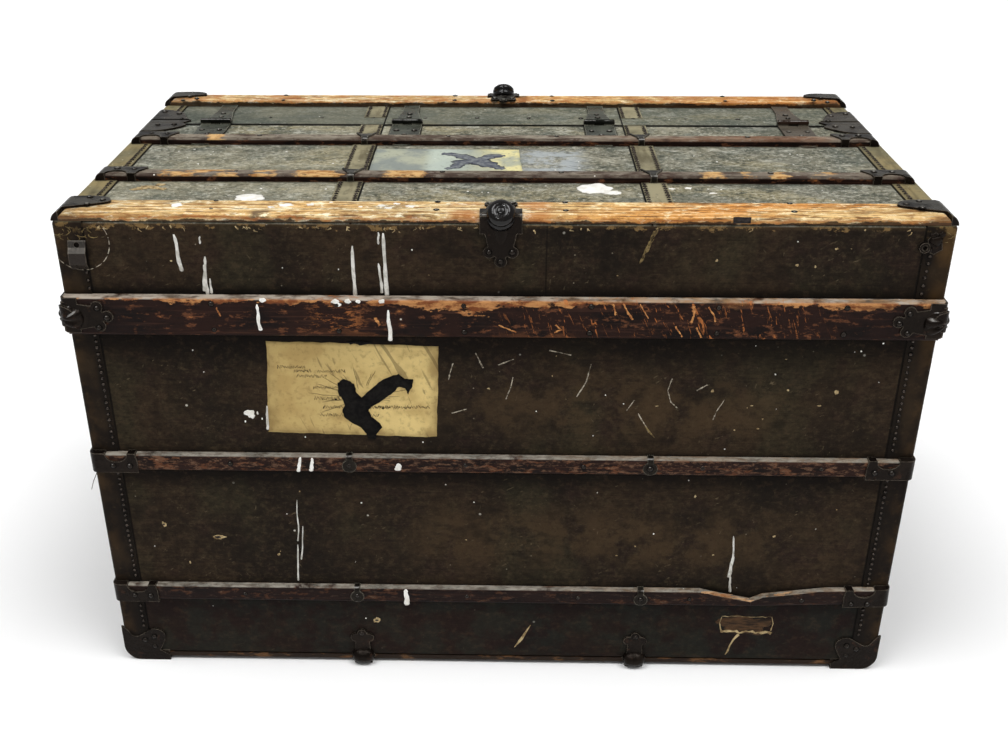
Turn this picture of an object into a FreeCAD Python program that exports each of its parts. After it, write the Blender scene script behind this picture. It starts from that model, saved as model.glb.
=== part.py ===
import FreeCAD, Part
import math
import os

from FreeCAD import Rotation, Vector

# A slatted, canvas-covered travelling trunk, lying on its front as it does in a store room.
# X runs along the trunk, -Y is its bottom, +Y the top of its lid, +Z its back and -Z its front.
# The origin is on the floor, under the middle. All sizes are in millimetres.

# ---- the box ----------------------------------------------------------------------------------
LENGTH = 1016.0            # outside of the canvas, end to end
HEIGHT = 540.0             # bottom to top of the closed trunk, along Y
DEPTH = 622.0              # front to back, along Z
LID_HEIGHT = 138.0         # the lid's share of HEIGHT
SEAM_GAP = 1.2             # daylight between body and lid
BOARD = 9.0                # thickness of the pine boards
CANVAS = 1.0               # painted canvas over the boards
LINING = 0.6               # paper lining
CORNER_RADIUS = 5.0        # edges between the ends and back or front
RIM_RADIUS = 4.0           # edges round the bottom and the lid's top

# ---- slats ------------------------------------------------------------------------------------
SLAT = 23.0                # width of a plain slat
SLAT_THICK = 9.0
SLAT_ROUND = 4.0           # rounded outer edges
BREAK_X = 330.0            # where the bottom's front slat has snapped
BREAK_ANGLE = 2.1          # how far its end has sprung up
WIDE_SLAT = 48.0           # the bottom's heavy slat, nearest the back
WIDE_SLAT_THICK = 12.0
WIDE_SLAT_Z = 521.0        # middle heights of the three slats across the bottom and the lid's top
MIDDLE_SLAT_Z = 320.5
FRONT_SLAT_Z = 119.5
BODY_SLAT_YS = (-114.5, 44.0)      # middles of the slats across back and front
SLAT_INSET = 8.0                   # how far those slats stop short of the trunk's ends
BOTTOM_EDGE_SLAT = (-270.0, -220.0)
LID_EDGE_SLAT = (233.0, 270.0)
END_RADIUS = 7.0           # rounding of the slats' ends

# ---- hardware ---------------------------------------------------------------------------------
CAST = 3.0                 # malleable iron of corner caps and edge bumpers
BACK_CAP_RADIUS = 13.0     # rounded ends of the caps at the back
CAP_RADIUS = 22.0          # rounded corners of the caps at the front
SHEET = 2.0                # formed iron of clamps, seam plates and handle loops
THIN_SHEET = 1.6           # hinges, lock and latches
BINDING = 1.0              # vulcanised fibre over the edges
BINDING_WIDTH = 33.0
BAND = 31.0                # fibre bands round back and front
BAND_X = 186.0
SEAM_BAND = 38.0           # thin band round the mouth of the lid
SEAM_BAND_THICK = 0.6
HINGE_XS = (-409.0, -136.0, 136.0, 409.0)
HINGE_WIDTH = 42.0
BARREL_RADIUS = 4.0
PIN_RADIUS = 1.6
RUNNING = 0.05             # radial clearance of a pin in a turning knuckle
CLEAR = 0.3                # clearance between pieces that pass each other

# ---- derived places ---------------------------------------------------------------------------
END = LENGTH / 2
FRONT = SLAT_THICK + CAST            # canvas of the front: slats and caps lie under it
BACK = FRONT + DEPTH
BOTTOM = -HEIGHT / 2
TOP = HEIGHT / 2
SEAM = TOP - LID_HEIGHT
BODY_MOUTH = SEAM - SEAM_GAP / 2
LID_MOUTH = SEAM + SEAM_GAP / 2
HINGE_Y = SEAM + 1.5
HINGE_Z = BACK + SEAM_BAND_THICK + BARREL_RADIUS + 0.4
WALL = CANVAS + BOARD
MID_Z = (FRONT + BACK) / 2
FAR = 2000.0                         # longer than anything here


# ---- helpers ----------------------------------------------------------------------------------
def block(x, y, z):
    """A box from three (low, high) pairs."""
    return Part.makeBox(x[1] - x[0], y[1] - y[0], z[1] - z[0], Vector(x[0], y[0], z[0]))


def both(low, high):
    """The two ranges low..high and its mirror image."""
    return ((low, high), (-high, -low))


def edges_along(shape, axis):
    """The straight edges of a shape that run along axis 0, 1 or 2."""
    found = []
    for edge in shape.Edges:
        run = edge.Vertexes[-1].Point - edge.Vertexes[0].Point
        if abs(abs(run[axis]) - run.Length) < 1e-6 and run.Length > 0:
            found.append(edge)
    return found


def prism(points, height):
    """A flat polygon in the x-y plane, raised by height."""
    wire = Part.makePolygon([Vector(x, y, 0) for x, y in points + points[:1]])
    return Part.Face(wire).extrude(Vector(0, 0, height))


def disc(x, y, radius, height):
    """An upright round plate."""
    return Part.makeCylinder(radius, height, Vector(x, y, 0))


def strip_of(points, thick, width, along):
    """A bent strip: a polyline given its thickness in its own plane, then its width."""
    line = Part.makePolygon([Vector(*point) for point in points])
    return Part.Face(line.makeOffset2D(thick / 2)).extrude(Vector(*along) * width)


def seat(shape, origin, across, outward):
    """Move a piece from its own frame to a face: its y to across, its z to outward."""
    along = Vector(*across).cross(Vector(*outward))
    turned = Rotation(along, Vector(*across), Vector(*outward), "ZXY")
    placed = shape.copy()
    placed.Placement = FreeCAD.Placement(Vector(*origin), turned).multiply(shape.Placement)
    return placed


def mirrored(shape, axis):
    """The mirror image of a piece across the middle plane of an axis."""
    middle = Vector(0, 0, MID_Z if axis == 2 else 0)
    normal = [Vector(1, 0, 0), Vector(0, 1, 0), Vector(0, 0, 1)][axis]
    return shape.mirror(middle, normal)


def pair(shape, axis=0):
    """A piece and its mirror image."""
    return [shape, mirrored(shape, axis)]


def joined(shapes):
    """One solid from several that overlap."""
    return shapes[0].fuse(shapes[1:]).removeSplitter()


def trunk_block(grow):
    """The closed trunk's outside, grown by a covering's thickness, with its rounded edges."""
    solid = block((-END - grow, END + grow), (BOTTOM - grow, TOP + grow), (FRONT - grow, BACK + grow))
    solid = solid.makeFillet(CORNER_RADIUS + grow, edges_along(solid, 1))
    rims = [e for e in solid.Edges if abs(abs(e.CenterOfMass.y) - TOP - grow) < 1e-3]
    return solid.makeFillet(RIM_RADIUS + grow, rims)


def slat_section(half_length, grow, radius):
    """An outline over the slats of back and front, extruded along Y."""
    low = FRONT - SLAT_THICK - grow
    high = BACK + SLAT_THICK + grow
    solid = block((-half_length, half_length), (-FAR, FAR), (low, high))
    return solid.makeFillet(radius, edges_along(solid, 1))


def on_body(shape):
    """The part of a covering that lies on the body."""
    return shape.common(block((-FAR, FAR), (-FAR, BODY_MOUTH), (-FAR, FAR)))


def on_lid(shape):
    """The part of a covering that lies on the lid."""
    return shape.common(block((-FAR, FAR), (LID_MOUTH, FAR), (-FAR, FAR)))


# ---- coverings and boards ---------------------------------------------------------------------
def boards(y_low, y_high, panel):
    """The boards of one half: a large panel, back, front and the two ends."""
    core = trunk_block(-CANVAS)
    inner_x = END - WALL
    inner_z = (FRONT + WALL, BACK - WALL)
    sides = (y_low, y_high)
    cut = {
        "panel": block((-END, END), panel, (0, BACK)),
        "back": block((-inner_x, inner_x), sides, (inner_z[1], BACK)),
        "front": block((-inner_x, inner_x), sides, (0, inner_z[0])),
        "left": block((-END, -inner_x), sides, (0, BACK)),
        "right": block((inner_x, END), sides, (0, BACK)),
    }
    return {name: core.common(box) for name, box in cut.items()}


def lining(y_low, y_high, closed_low):
    """Paper lining inside one half, open towards the seam."""
    x = END - WALL
    z = (FRONT + WALL, BACK - WALL)
    outer = block((-x, x), (y_low, y_high), z)
    low = y_low + LINING if closed_low else y_low - 1
    high = y_high + 1 if closed_low else y_high - LINING
    return outer.cut(block((-x + LINING, x - LINING), (low, high), (z[0] + LINING, z[1] - LINING)))


def fibre(lid):
    """Edge bindings and cross bands of one half, laid on the canvas."""
    skin = trunk_block(BINDING).cut(trunk_block(0))
    edge = BINDING_WIDTH
    zones = []
    for x in both(END - edge, FAR):
        zones.append(block(x, (-FAR, FAR), (BACK - edge, FAR)))
        zones.append(block(x, (-FAR, FAR), (-FAR, FRONT + edge)))
        zones.append(block(x, (-FAR, BOTTOM + edge), (-FAR, FAR)))
        zones.append(block(x, (TOP - edge, FAR), (-FAR, FAR)))
    for x in both(BAND_X - BAND / 2, BAND_X + BAND / 2):
        for z in ((BACK - edge, FAR), (-FAR, FRONT + edge)):
            zones.append(block(x, (BOTTOM + edge, TOP - edge / 2), z))
    covered = skin.common(zones[0].fuse(zones[1:]))
    if lid:
        return covered.common(block((-FAR, FAR), (SEAM + SEAM_BAND, FAR), (-FAR, FAR)))
    return on_body(covered)


def seam_band():
    """Thin band round the mouth of the lid."""
    skin = trunk_block(SEAM_BAND_THICK).cut(trunk_block(0))
    return skin.common(block((-FAR, FAR), (LID_MOUTH, SEAM + SEAM_BAND), (-FAR, FAR)))


def mouth_lip():
    """Four rebated strips that stand up inside the mouth and guide the lid."""
    reach = 8.0
    below = 26.0
    thick = 7.4
    slack = 1.4
    x = END - WALL - LINING
    low = FRONT + WALL + LINING
    high = BACK - WALL - LINING
    strips = []
    for z_wall, inward in ((high, -1), (low, 1)):
        z = sorted((z_wall, z_wall + inward * thick))
        z_slim = sorted((z_wall + inward * slack, z_wall + inward * thick))
        base = block((-x, x), (BODY_MOUTH - below, BODY_MOUTH), z)
        tongue = block((-x + slack, x - slack), (BODY_MOUTH, BODY_MOUTH + reach), z_slim)
        strips.append(base.fuse(tongue))
    for x_wall, inward in ((x, -1), (-x, 1)):
        span = sorted((x_wall, x_wall + inward * thick))
        slim = sorted((x_wall + inward * slack, x_wall + inward * thick))
        inner = (low + thick, high - thick)
        base = block(span, (BODY_MOUTH - below, BODY_MOUTH), inner)
        strips.append(base.fuse(block(slim, (BODY_MOUTH, BODY_MOUTH + reach), inner)))
    return strips


def tray_cleats():
    """A wooden cleat on each end, on which a tray would sit."""
    x = END - WALL - LINING
    drop = 95.0
    strips = []
    for span in both(x - 12.0, x):
        strips.append(block(span, (SEAM - drop - 18.0, SEAM - drop), (FRONT + 60.0, BACK - 60.0)))
    return strips


# ---- slats ------------------------------------------------------------------------------------
def slat_bar(width, thick, length=LENGTH, rounding=SLAT_ROUND):
    """A slat along x, on the plane z = 0, with its two outer edges rounded."""
    half = width / 2
    bend = rounding * (1 - math.sqrt(0.5))
    right = Part.Arc(Vector(0, half, thick - rounding), Vector(0, half - bend, thick - bend),
                     Vector(0, half - rounding, thick))
    left = Part.Arc(Vector(0, rounding - half, thick), Vector(0, bend - half, thick - bend),
                    Vector(0, -half, thick - rounding))
    runs = [
        Part.LineSegment(Vector(0, -half, 0), Vector(0, half, 0)),
        Part.LineSegment(Vector(0, half, 0), Vector(0, half, thick - rounding)),
        right,
        Part.LineSegment(Vector(0, half - rounding, thick), Vector(0, rounding - half, thick)),
        left,
        Part.LineSegment(Vector(0, -half, thick - rounding), Vector(0, -half, 0)),
    ]
    face = Part.Face(Part.Wire([run.toShape() for run in runs]))
    bar = face.extrude(Vector(length, 0, 0))
    bar.translate(Vector(-length / 2, 0, 0))
    return bar


def slat_across(y_middle, width, underlay):
    """A slat along the back, with its ends rounded down and rebated over what it crosses."""
    bar = seat(slat_bar(width, SLAT_THICK), (0, y_middle, BACK), (0, 1, 0), (0, 0, 1))
    return bar.common(slat_section(END - SLAT_INSET, 0, END_RADIUS)).cut(underlay)


def slat_on_face(z_middle, width, thick, underlay):
    """A slat across the bottom, on the plane of the canvas."""
    bar = seat(slat_bar(width, thick), (0, BOTTOM, z_middle), (0, 0, 1), (0, -1, 0))
    outline = block((-END, END), (BOTTOM - thick, 0), (0, BACK))
    outline = outline.makeFillet(END_RADIUS, [e for e in edges_along(outline, 2) if e.CenterOfMass.y < BOTTOM])
    return bar.common(outline).cut(underlay)


def sprung(shape):
    """Turn a piece with the sprung-up end of the broken slat."""
    turned = shape.copy()
    turned.rotate(Vector(BREAK_X, 0, FRONT_SLAT_Z - SLAT / 2), Vector(0, -1, 0), BREAK_ANGLE)
    return turned


def snapped_slat(slat):
    """The bottom's front slat, snapped near its right end: the long part and the sprung end."""
    top = FRONT_SLAT_Z + SLAT / 2
    splinter = [(BREAK_X - 70, top + 1), (BREAK_X - 44, top - 6), (BREAK_X, top - 15), (BREAK_X, top + 1)]
    chip = seat(prism(splinter, 40.0), (0, BOTTOM + 10.0, 0), (0, 0, 1), (0, -1, 0))
    sound = slat.common(block((-FAR, BREAK_X), (-FAR, FAR), (-FAR, FAR))).cut(chip)
    far_end = slat.common(block((BREAK_X + 0.6, FAR), (-FAR, FAR), (-FAR, FAR)))
    wedge = [(BREAK_X, top + 1), (BREAK_X, top - 15), (BREAK_X + 16, top - 8), (BREAK_X + 108, top + 1)]
    chip = seat(prism(wedge, 40.0), (0, BOTTOM + 10.0, 0), (0, 0, 1), (0, -1, 0))
    return sound, sprung(far_end.cut(chip))


# ---- formed sheet hardware, each in its own frame ---------------------------------------------
def end_profile(inset, grow, half_width):
    """A slat's end seen from its side: x in from the trunk's end, z out from its face."""
    start = inset - grow
    solid = block((start, 120.0), (-half_width, half_width), (-60.0, SLAT_THICK + grow))
    corner = [e for e in edges_along(solid, 1) if e.CenterOfMass.x < start + 1 and e.CenterOfMass.z > 0]
    return solid.makeFillet(END_RADIUS + grow, corner)


def slat_clamp(inset, spur, tail):
    """Clamp over a slat's end: a plate with an oval cut-out and a strap on its inner side."""
    half = SLAT / 2
    outer = half + SHEET
    reach = 58.0
    shell = end_profile(inset, SHEET, outer).cut(end_profile(inset, 0, half))
    outline = [(-SHEET, -outer), (reach + spur, -outer), (reach + spur, -outer + 4), (reach, 3),
               (reach - 2, outer), (-SHEET, outer)]
    plan = prism(outline, 200.0)
    plan.translate(Vector(0, 0, -100.0))
    notch = block((18.0, 46.0), (2.0, outer + 1), (-100.0, 100.0))
    notch = notch.makeFillet(12.0, [e for e in edges_along(notch, 2) if e.CenterOfMass.y < 3.0])
    under = block((-10, 200), (-50, 50), (-200, -tail))
    return shell.common(plan).cut([notch, under])


def band_clamp():
    """V-shaped clamp where a slat crosses a band: a riveted foot and a tongue over the slat."""
    half = SLAT / 2
    outer = half + THIN_SHEET
    foot = 7.0
    over = slat_bar(2 * outer, SLAT_THICK + THIN_SHEET, 40.0, SLAT_ROUND + THIN_SHEET)
    base = block((-20, 20), (-half - foot, -half), (0, THIN_SHEET))
    outline = [(-9, -half - foot), (9, -half - foot), (11.5, -half), (11.5, -half + 4), (4.2, 0), (4.2, outer),
               (-4.2, outer), (-4.2, 0), (-11.5, -half + 4), (-11.5, -half)]
    return over.fuse(base).cut(slat_bar(SLAT, SLAT_THICK, 60.0)).common(prism(outline, 100.0))


def round_clamp():
    """Round riveted clamp on a slat, with one tab over its upper edge."""
    half = SLAT / 2
    outer = half + THIN_SHEET
    over = slat_bar(2 * outer, SLAT_THICK + THIN_SHEET, 40.0, SLAT_ROUND + THIN_SHEET)
    plan = disc(0, -1.5, 9.0, 100.0).fuse(block((-4, 4), (0, outer), (0, 100)))
    return over.cut(slat_bar(SLAT, SLAT_THICK, 60.0)).common(plan)


def lobed_plate(base, lobes, radius, thick):
    """Plate from a straight base at y = 0 out to round rivet lobes."""
    outline = [(-base, 0), (base, 0)] + lobes
    return prism(outline, thick).fuse([disc(x, y, radius, thick) for x, y in lobes])


def knob(collar, ball, rise):
    """A ball on a round collar, standing on z = 0."""
    ring = Part.makeCylinder(collar, 9.0, Vector(0, 0, -8.0))
    return ring.fuse(Part.makeSphere(ball, Vector(0, 0, rise - ball)))


def leaning(shape, x, y, z):
    """Put a piece that stands on z = 0 at a point, leaning half-way between -y and +z."""
    turned = shape.copy()
    turned.Placement = FreeCAD.Placement(Vector(x, y, z), Rotation(Vector(0, 0, 1), Vector(0, -1, 1)))
    return turned


def edge_wrap(half_width, thick, reach, drop, top, radius):
    """Plate folded over a long edge: reach inward on top, drop down the outer face."""
    outer = block((-half_width, half_width), (-thick, reach), (-drop, top + thick))
    corner = [e for e in edges_along(outer, 0) if e.CenterOfMass.y < 0 and e.CenterOfMass.z > 0]
    return outer.makeFillet(radius, corner)


def back_edge_bumper():
    """Ball bumper over the slat at an edge of the back: lobed plates on both faces and a leaning ball."""
    fold = edge_wrap(24.0, CAST, 16.0, 12.0, SLAT_THICK, 7.0)
    top = lobed_plate(21.0, [(13.0, 33.0), (0.0, 41.0), (-13.0, 33.0)], 6.0, CAST)
    top.translate(Vector(0, 0, SLAT_THICK))
    face = lobed_plate(23.0, [(13.0, 43.0), (0.0, 54.0), (-13.0, 43.0)], 7.0, CAST)
    face = seat(face, (0, 0, SLAT_THICK), (0, 0, -1), (0, -1, 0))
    spine = Part.makeCone(12.0, 4.0, 36.0, Vector(0, 6.0, 4.0), Vector(0, -0.1, -1))
    ball = leaning(knob(13.5, 11.0, 15.0), 0, 1.0, 8.0)
    piece = joined([fold, top, face, spine, ball])
    slat = block((-60, 60), (0, 60), (0, SLAT_THICK))
    trunk = block((-60, 60), (0, 60), (-80, 0))
    return piece.cut([slat, trunk])


def front_edge_bumper():
    """Smaller bumper at an edge of the front: a riveted head above a rounded bulge."""
    head = lobed_plate(12.0, [(9.0, 40.0), (0.0, 47.0), (-9.0, 40.0)], 6.5, CAST)
    head = seat(head, (0, 0, SLAT_THICK), (0, 0, -1), (0, -1, 0))
    arc = Part.Arc(Vector(-18, 0, 0), Vector(0, 0, 11), Vector(18, 0, 0)).toShape()
    lens = Part.Face(Part.Wire([arc, Part.makeLine(Vector(18, 0, 0), Vector(-18, 0, 0))]))
    bulge = lens.revolve(Vector(0, 0, 0), Vector(1, 0, 0), 360)
    bulge.translate(Vector(0, 3.0, SLAT_THICK + CAST - 11.0))
    sole = block((-12, 12), (-CAST, 34.0), (SLAT_THICK, SLAT_THICK + CAST))
    piece = joined([head, bulge, sole])
    slat = block((-60, 60), (0, 60), (0, SLAT_THICK))
    trunk = block((-60, 60), (0, 60), (-80, 0))
    return piece.cut([slat, trunk])


def wide_slat_bumper():
    """Bumper over an end of the bottom's wide slat: waisted plates with rivet lobes and a round boss."""
    half = WIDE_SLAT / 2
    fold = edge_wrap(half - 2.0, SHEET, 18.0, 10.0, WIDE_SLAT_THICK, 6.0)
    fold.translate(Vector(-2.0, 0, 0))
    flat = lobed_plate(half - 5.0, [(11.0, 41.0), (-1.0, 51.0), (-13.0, 40.0)], 7.0, SHEET)
    tail = seat(flat, (0, 0, WIDE_SLAT_THICK), (0, 0, -1), (0, -1, 0))
    flat.translate(Vector(0, 0, WIDE_SLAT_THICK))
    pad = edge_wrap(18.0, 5.0, 20.0, 14.0, WIDE_SLAT_THICK, 8.0)
    round_pad = leaning(Part.makeCylinder(13.0, 60.0, Vector(0, 0, -30.0)), -2.0, 0, WIDE_SLAT_THICK)
    piece = joined([fold, flat, tail, pad.common(round_pad)])
    waists = [disc(side * (half + 5.0), 28.0, 11.0, 60.0) for side in (-1, 1)]
    trunk = block((-60, 60), (0, 80), (-80, 0))
    slat = block((-half, half), (0, 80), (-1, WIDE_SLAT_THICK))
    return piece.cut([trunk, slat] + waists)


# ---- corner hardware --------------------------------------------------------------------------
def curved_outline(curve, corners, height):
    """A flat shape bounded by a smooth curve and then straight sides, raised by height."""
    bend = Part.BSplineCurve()
    bend.interpolate([Vector(x, y, 0) for x, y in curve])
    sides = Part.makePolygon([Vector(x, y, 0) for x, y in [curve[-1]] + corners + [curve[0]]])
    return Part.Face(Part.Wire([bend.toShape()] + sides.Edges)).extrude(Vector(0, 0, height))


def back_corner_cap(slat, under):
    """Cap over an edge slat's end at the back: a rounded tongue on the slat and a block at its end."""
    low, high = slat
    width = high - low
    edge = high + CAST
    tongue = [(-END - 10, edge), (-END + 38, edge), (-END + 54, high - 0.08 * width), (-END + 58, high - 0.26 * width),
              (-END + 46, high - 0.44 * width), (-END + 24, high - 0.62 * width), (-END - 10, high - 0.82 * width)]
    column = curved_outline(tongue, [(-END - 20, high - 0.82 * width), (-END - 20, edge)], FAR)
    column.translate(Vector(0, 0, BACK))
    stop = block((-END - 20, SLAT_INSET - END), (low, edge), (BACK, FAR))
    return slat_section(END + BINDING, CAST, BACK_CAP_RADIUS).common(column.fuse(stop)).cut(under)


def front_corner_cap(under):
    """Three-sided cap on a corner of the front, with a wavy riveted edge on the trunk's bottom."""
    reach = 58.0
    out = THIN_SHEET + BINDING
    solid = block((-END - out, -END + reach), (BOTTOM - out, BOTTOM + reach), (0, 60.0))
    ridge = [e for e in edges_along(solid, 1) if e.CenterOfMass.x < -END and e.CenterOfMass.z < 1]
    solid = solid.makeFillet(CAP_RADIUS, ridge)
    wave = [(5, 58), (-2, 54), (-13, 40), (-31, 48), (-43, 53), (-55, 45), (-53, 31), (-46, 17)]
    wavy = curved_outline(wave, [(-58, 9), (-58, -5), (5, -5)], FAR)
    wavy = seat(wavy, (-END, -FAR / 2, 0), (0, 0, 1), (0, 1, 0))
    face = wavy.common(block((-FAR, FAR), (-FAR, BOTTOM), (-FAR, FAR)))
    foot = prism([(-END - 10, BOTTOM), (-END + reach, BOTTOM), (-END + reach, BOTTOM + 14),
                  (-END + 34, BOTTOM + 40), (-END + 14, BOTTOM + reach), (-END - 10, BOTTOM + reach)], 50.0)
    return solid.common(face.fuse(foot)).cut(under)


def seam_plate(lid, under):
    """Plate beside the seam at a back corner, folded down over the end."""
    shell = trunk_block(SHEET + BINDING)
    if lid:
        y = LID_MOUTH
        curve = [(-END - 10, y + 68), (-END + 20, y + 67), (-END + 42, y + 48), (-END + 50, y + 27), (-END + 60, y + 13)]
        corners = [(-END + 50, y), (-END - 10, y)]
    else:
        y = BODY_MOUTH
        curve = [(-END - 10, y - 34), (-END + 22, y - 40), (-END + 44, y - 27), (-END + 58, y - 10)]
        corners = [(-END + 52, y), (-END - 10, y)]
    column = curved_outline(curve, corners, FAR)
    column.translate(Vector(0, 0, BACK - 36.0))
    return shell.common(column).cut(under)


# ---- hinges -----------------------------------------------------------------------------------
def hinge_knuckle(x_low, x_high, side, bore):
    """One knuckle of a hinge and the web that ties it to its leaf."""
    barrel = Part.makeCylinder(BARREL_RADIUS, x_high - x_low, Vector(x_low, HINGE_Y, HINGE_Z), Vector(1, 0, 0))
    web = sorted((HINGE_Y + side * 2.3, HINGE_Y + side * (BARREL_RADIUS + 0.4)))
    tie = block((x_low, x_high), web, (BACK, HINGE_Z))
    hole = Part.makeCylinder(bore, x_high - x_low, Vector(x_low, HINGE_Y, HINGE_Z), Vector(1, 0, 0))
    return barrel.fuse(tie).cut(hole)


def hinge_body_leaf(x):
    """Leaf on the body: scalloped, with a strap that runs on under the slat to a round tip."""
    half = HINGE_WIDTH / 2
    start = HINGE_Y - BARREL_RADIUS - 0.4
    edge = SEAM - 38.0
    near = BODY_SLAT_YS[1] - SLAT / 2
    plate = prism([(-half, start), (half, start), (half, edge), (-half, edge)], THIN_SHEET)
    strap = block((-12.0, 12.0), (near, edge), (0, THIN_SHEET))
    round_parts = [disc(dx, edge, 7.0, THIN_SHEET) for dx in (-14.0, 0.0, 14.0)]
    point = disc(0, near + 11.9, 16.9, THIN_SHEET).common(block((-12, 12), (near - 6.0, near + 1), (0, THIN_SHEET)))
    leaf = plate.fuse([strap, point] + round_parts)
    leaf.translate(Vector(x, 0, BACK))
    third = HINGE_WIDTH / 3
    outer = [hinge_knuckle(x + a, x + b, -1, PIN_RADIUS) for a, b in both(third / 2 + CLEAR / 2, half)]
    return joined([leaf] + outer)


def hinge_lid_leaf(x, under):
    """Leaf on the lid: tapered to a strap that runs under the edge slat."""
    half = HINGE_WIDTH / 2
    start = HINGE_Y + BARREL_RADIUS + 0.4
    neck = SEAM + 62.0
    end = LID_EDGE_SLAT[0] + 22.0
    outline = [(-half, start), (half, start), (half - 2, start + 12), (12, neck), (11, end), (-11, end), (-12, neck),
               (2 - half, start + 12)]
    leaf = prism(outline, THIN_SHEET + SEAM_BAND_THICK)
    leaf.translate(Vector(x, 0, BACK))
    third = HINGE_WIDTH / 3
    middle = hinge_knuckle(x - third / 2 + CLEAR / 2, x + third / 2 - CLEAR / 2, 1, PIN_RADIUS + RUNNING)
    return joined([leaf, middle]).cut(under)


def hinge_pin(x):
    """Pin with a flat head at each end."""
    half = HINGE_WIDTH / 2
    axis = Vector(1, 0, 0)
    shank = Part.makeCylinder(PIN_RADIUS, HINGE_WIDTH, Vector(x - half, HINGE_Y, HINGE_Z), axis)
    heads = [Part.makeCylinder(2.4, 1.0, Vector(x + start, HINGE_Y, HINGE_Z), axis) for start in (-half - 1, half)]
    return joined([shank] + heads)


# ---- lock and latches on the front ------------------------------------------------------------
LOCK_PLATE_Z = (FRONT - THIN_SHEET, FRONT)
HASP_Y = SEAM + 16.0
FITTING_Z = 7.0             # pin height of hasp and latches, between floor and canvas
FITTING_BARREL = 2.2
FITTING_PIN = 1.0
LATCH_XS = (-330.0, 330.0)
LATCH_Y = SEAM - 24.0


def small_knuckle(x, y, side, bore, reach):
    """A small knuckle on the front, tied up to its plate or out to its leaf."""
    length = x[1] - x[0]
    axis = Vector(1, 0, 0)
    barrel = Part.makeCylinder(FITTING_BARREL, length, Vector(x[0], y, FITTING_Z), axis)
    if side == "plate":
        tie = block(x, (y - FITTING_BARREL, y + FITTING_BARREL), (FITTING_Z, LOCK_PLATE_Z[0] + 0.2))
    else:
        tie = block(x, sorted((y, y + reach)), (FITTING_Z - 1.0, FITTING_Z + 1.0))
    hole = Part.makeCylinder(bore, length, Vector(x[0], y, FITTING_Z), axis)
    return barrel.fuse(tie).cut(hole)


def lock_plate():
    """Lock plate on the front of the body, open towards the lid for the hasp's staple."""
    plate = prism([(-45, 0), (45, 0), (45, -58), (30, -74), (-30, -74), (-45, -58)], THIN_SHEET)
    plate.translate(Vector(0, BODY_MOUTH - 2.0, LOCK_PLATE_Z[0]))
    boss = Part.makeCylinder(9.0, 1.4, Vector(0, BODY_MOUTH - 56.0, LOCK_PLATE_Z[0] - 1.4))
    keyhole = Part.makeCylinder(2.5, 20.0, Vector(0, BODY_MOUTH - 56.0, 0))
    return plate.fuse(boss).cut([keyhole, staple_way()])


def staple_way():
    """The open groove in lock plate, canvas and board that the staple swings through."""
    return block((-7.0, 7.0), (BODY_MOUTH - 40.0, BODY_MOUTH + 1.0), (0, FRONT + 6.5))


def hasp():
    """Hinged hasp of the lock, closed over the lock plate, with the staple on its inner side."""
    end = BODY_MOUTH - 46.0
    plate = block((-17, 17), (end + 17.0, HASP_Y - FITTING_BARREL - CLEAR), (FITTING_Z - 1.0, FITTING_Z + 1.0))
    nose = Part.makeCylinder(17.0, 2.0, Vector(0, end + 17.0, FITTING_Z - 1.0))
    staple = block((-3.0, 3.0), (end + 10.0, end + 26.0), (FITTING_Z, FRONT + 5.0))
    eye = Part.makeCylinder(2.6, 20.0, Vector(-10, end + 18.0, FRONT + 1.2), Vector(1, 0, 0))
    knuckles = small_knuckle((-6.0, 6.0), HASP_Y, "leaf", FITTING_PIN + RUNNING, -6.0)
    return joined([plate, nose, staple.cut(eye), knuckles])


def hasp_plate():
    """Plate on the front of the lid that carries the hasp, with its pin."""
    low = LID_MOUTH + 3.0
    plate = block((-22, 22), (low, low + 44.0), LOCK_PLATE_Z)
    ears = [small_knuckle(x, HASP_Y, "plate", FITTING_PIN, 0) for x in both(6.0 + CLEAR, 17.0)]
    pin = Part.makeCylinder(FITTING_PIN, 34.0, Vector(-17, HASP_Y, FITTING_Z), Vector(1, 0, 0))
    return joined([plate, pin] + ears)


def latch_plate(x):
    """Plate of a side latch on the front of the body, with its pin."""
    plate = block((x - 18, x + 18), (LATCH_Y - 44.0, BODY_MOUTH - 3.0), LOCK_PLATE_Z)
    ears = [small_knuckle((x + a, x + b), LATCH_Y, "plate", FITTING_PIN, 0) for a, b in both(5.0 + CLEAR, 12.0)]
    pin = Part.makeCylinder(FITTING_PIN, 24.0, Vector(x - 12, LATCH_Y, FITTING_Z), Vector(1, 0, 0))
    return joined([plate, pin] + ears)


def latch_lever(x):
    """Lever of a side latch, thrown back off the lid, with a hooked tip."""
    reach = 40.0
    arm = block((x - 9, x + 9), (LATCH_Y - reach, LATCH_Y - FITTING_BARREL - CLEAR), (FITTING_Z - 1.0, FITTING_Z + 1.0))
    hook = block((x - 9, x + 9), (LATCH_Y - reach, LATCH_Y - reach + 2.0), (FITTING_Z - 4.0, FITTING_Z + 1.0))
    knuckles = small_knuckle((x - 5.0, x + 5.0), LATCH_Y, "leaf", FITTING_PIN + RUNNING, -6.0)
    return joined([arm, hook, knuckles])


def latch_catch(x):
    """Catch on the front of the lid, with a ridge for the hooked tip."""
    low = LID_MOUTH + 3.0
    plate = block((x - 15, x + 15), (low, low + 30.0), LOCK_PLATE_Z)
    ridge = block((x - 11, x + 11), (low + 5.0, low + 9.0), (LOCK_PLATE_Z[0] - 1.0, LOCK_PLATE_Z[0]))
    return joined([plate, ridge])


# ---- handles on the ends ----------------------------------------------------------------------
HANDLE_Y = (BOTTOM + SEAM) / 2
STRAP = 28.0
STRAP_THICK = 5.0
STRAP_RISE = 24.0
STRAP_BEND = 40.0
STRAP_FLAT = 34.0           # the flat end that lies under its loop
STRAP_SPAN = 92.0           # the raised middle
HANDLE_TRAVEL = 6.0


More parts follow.
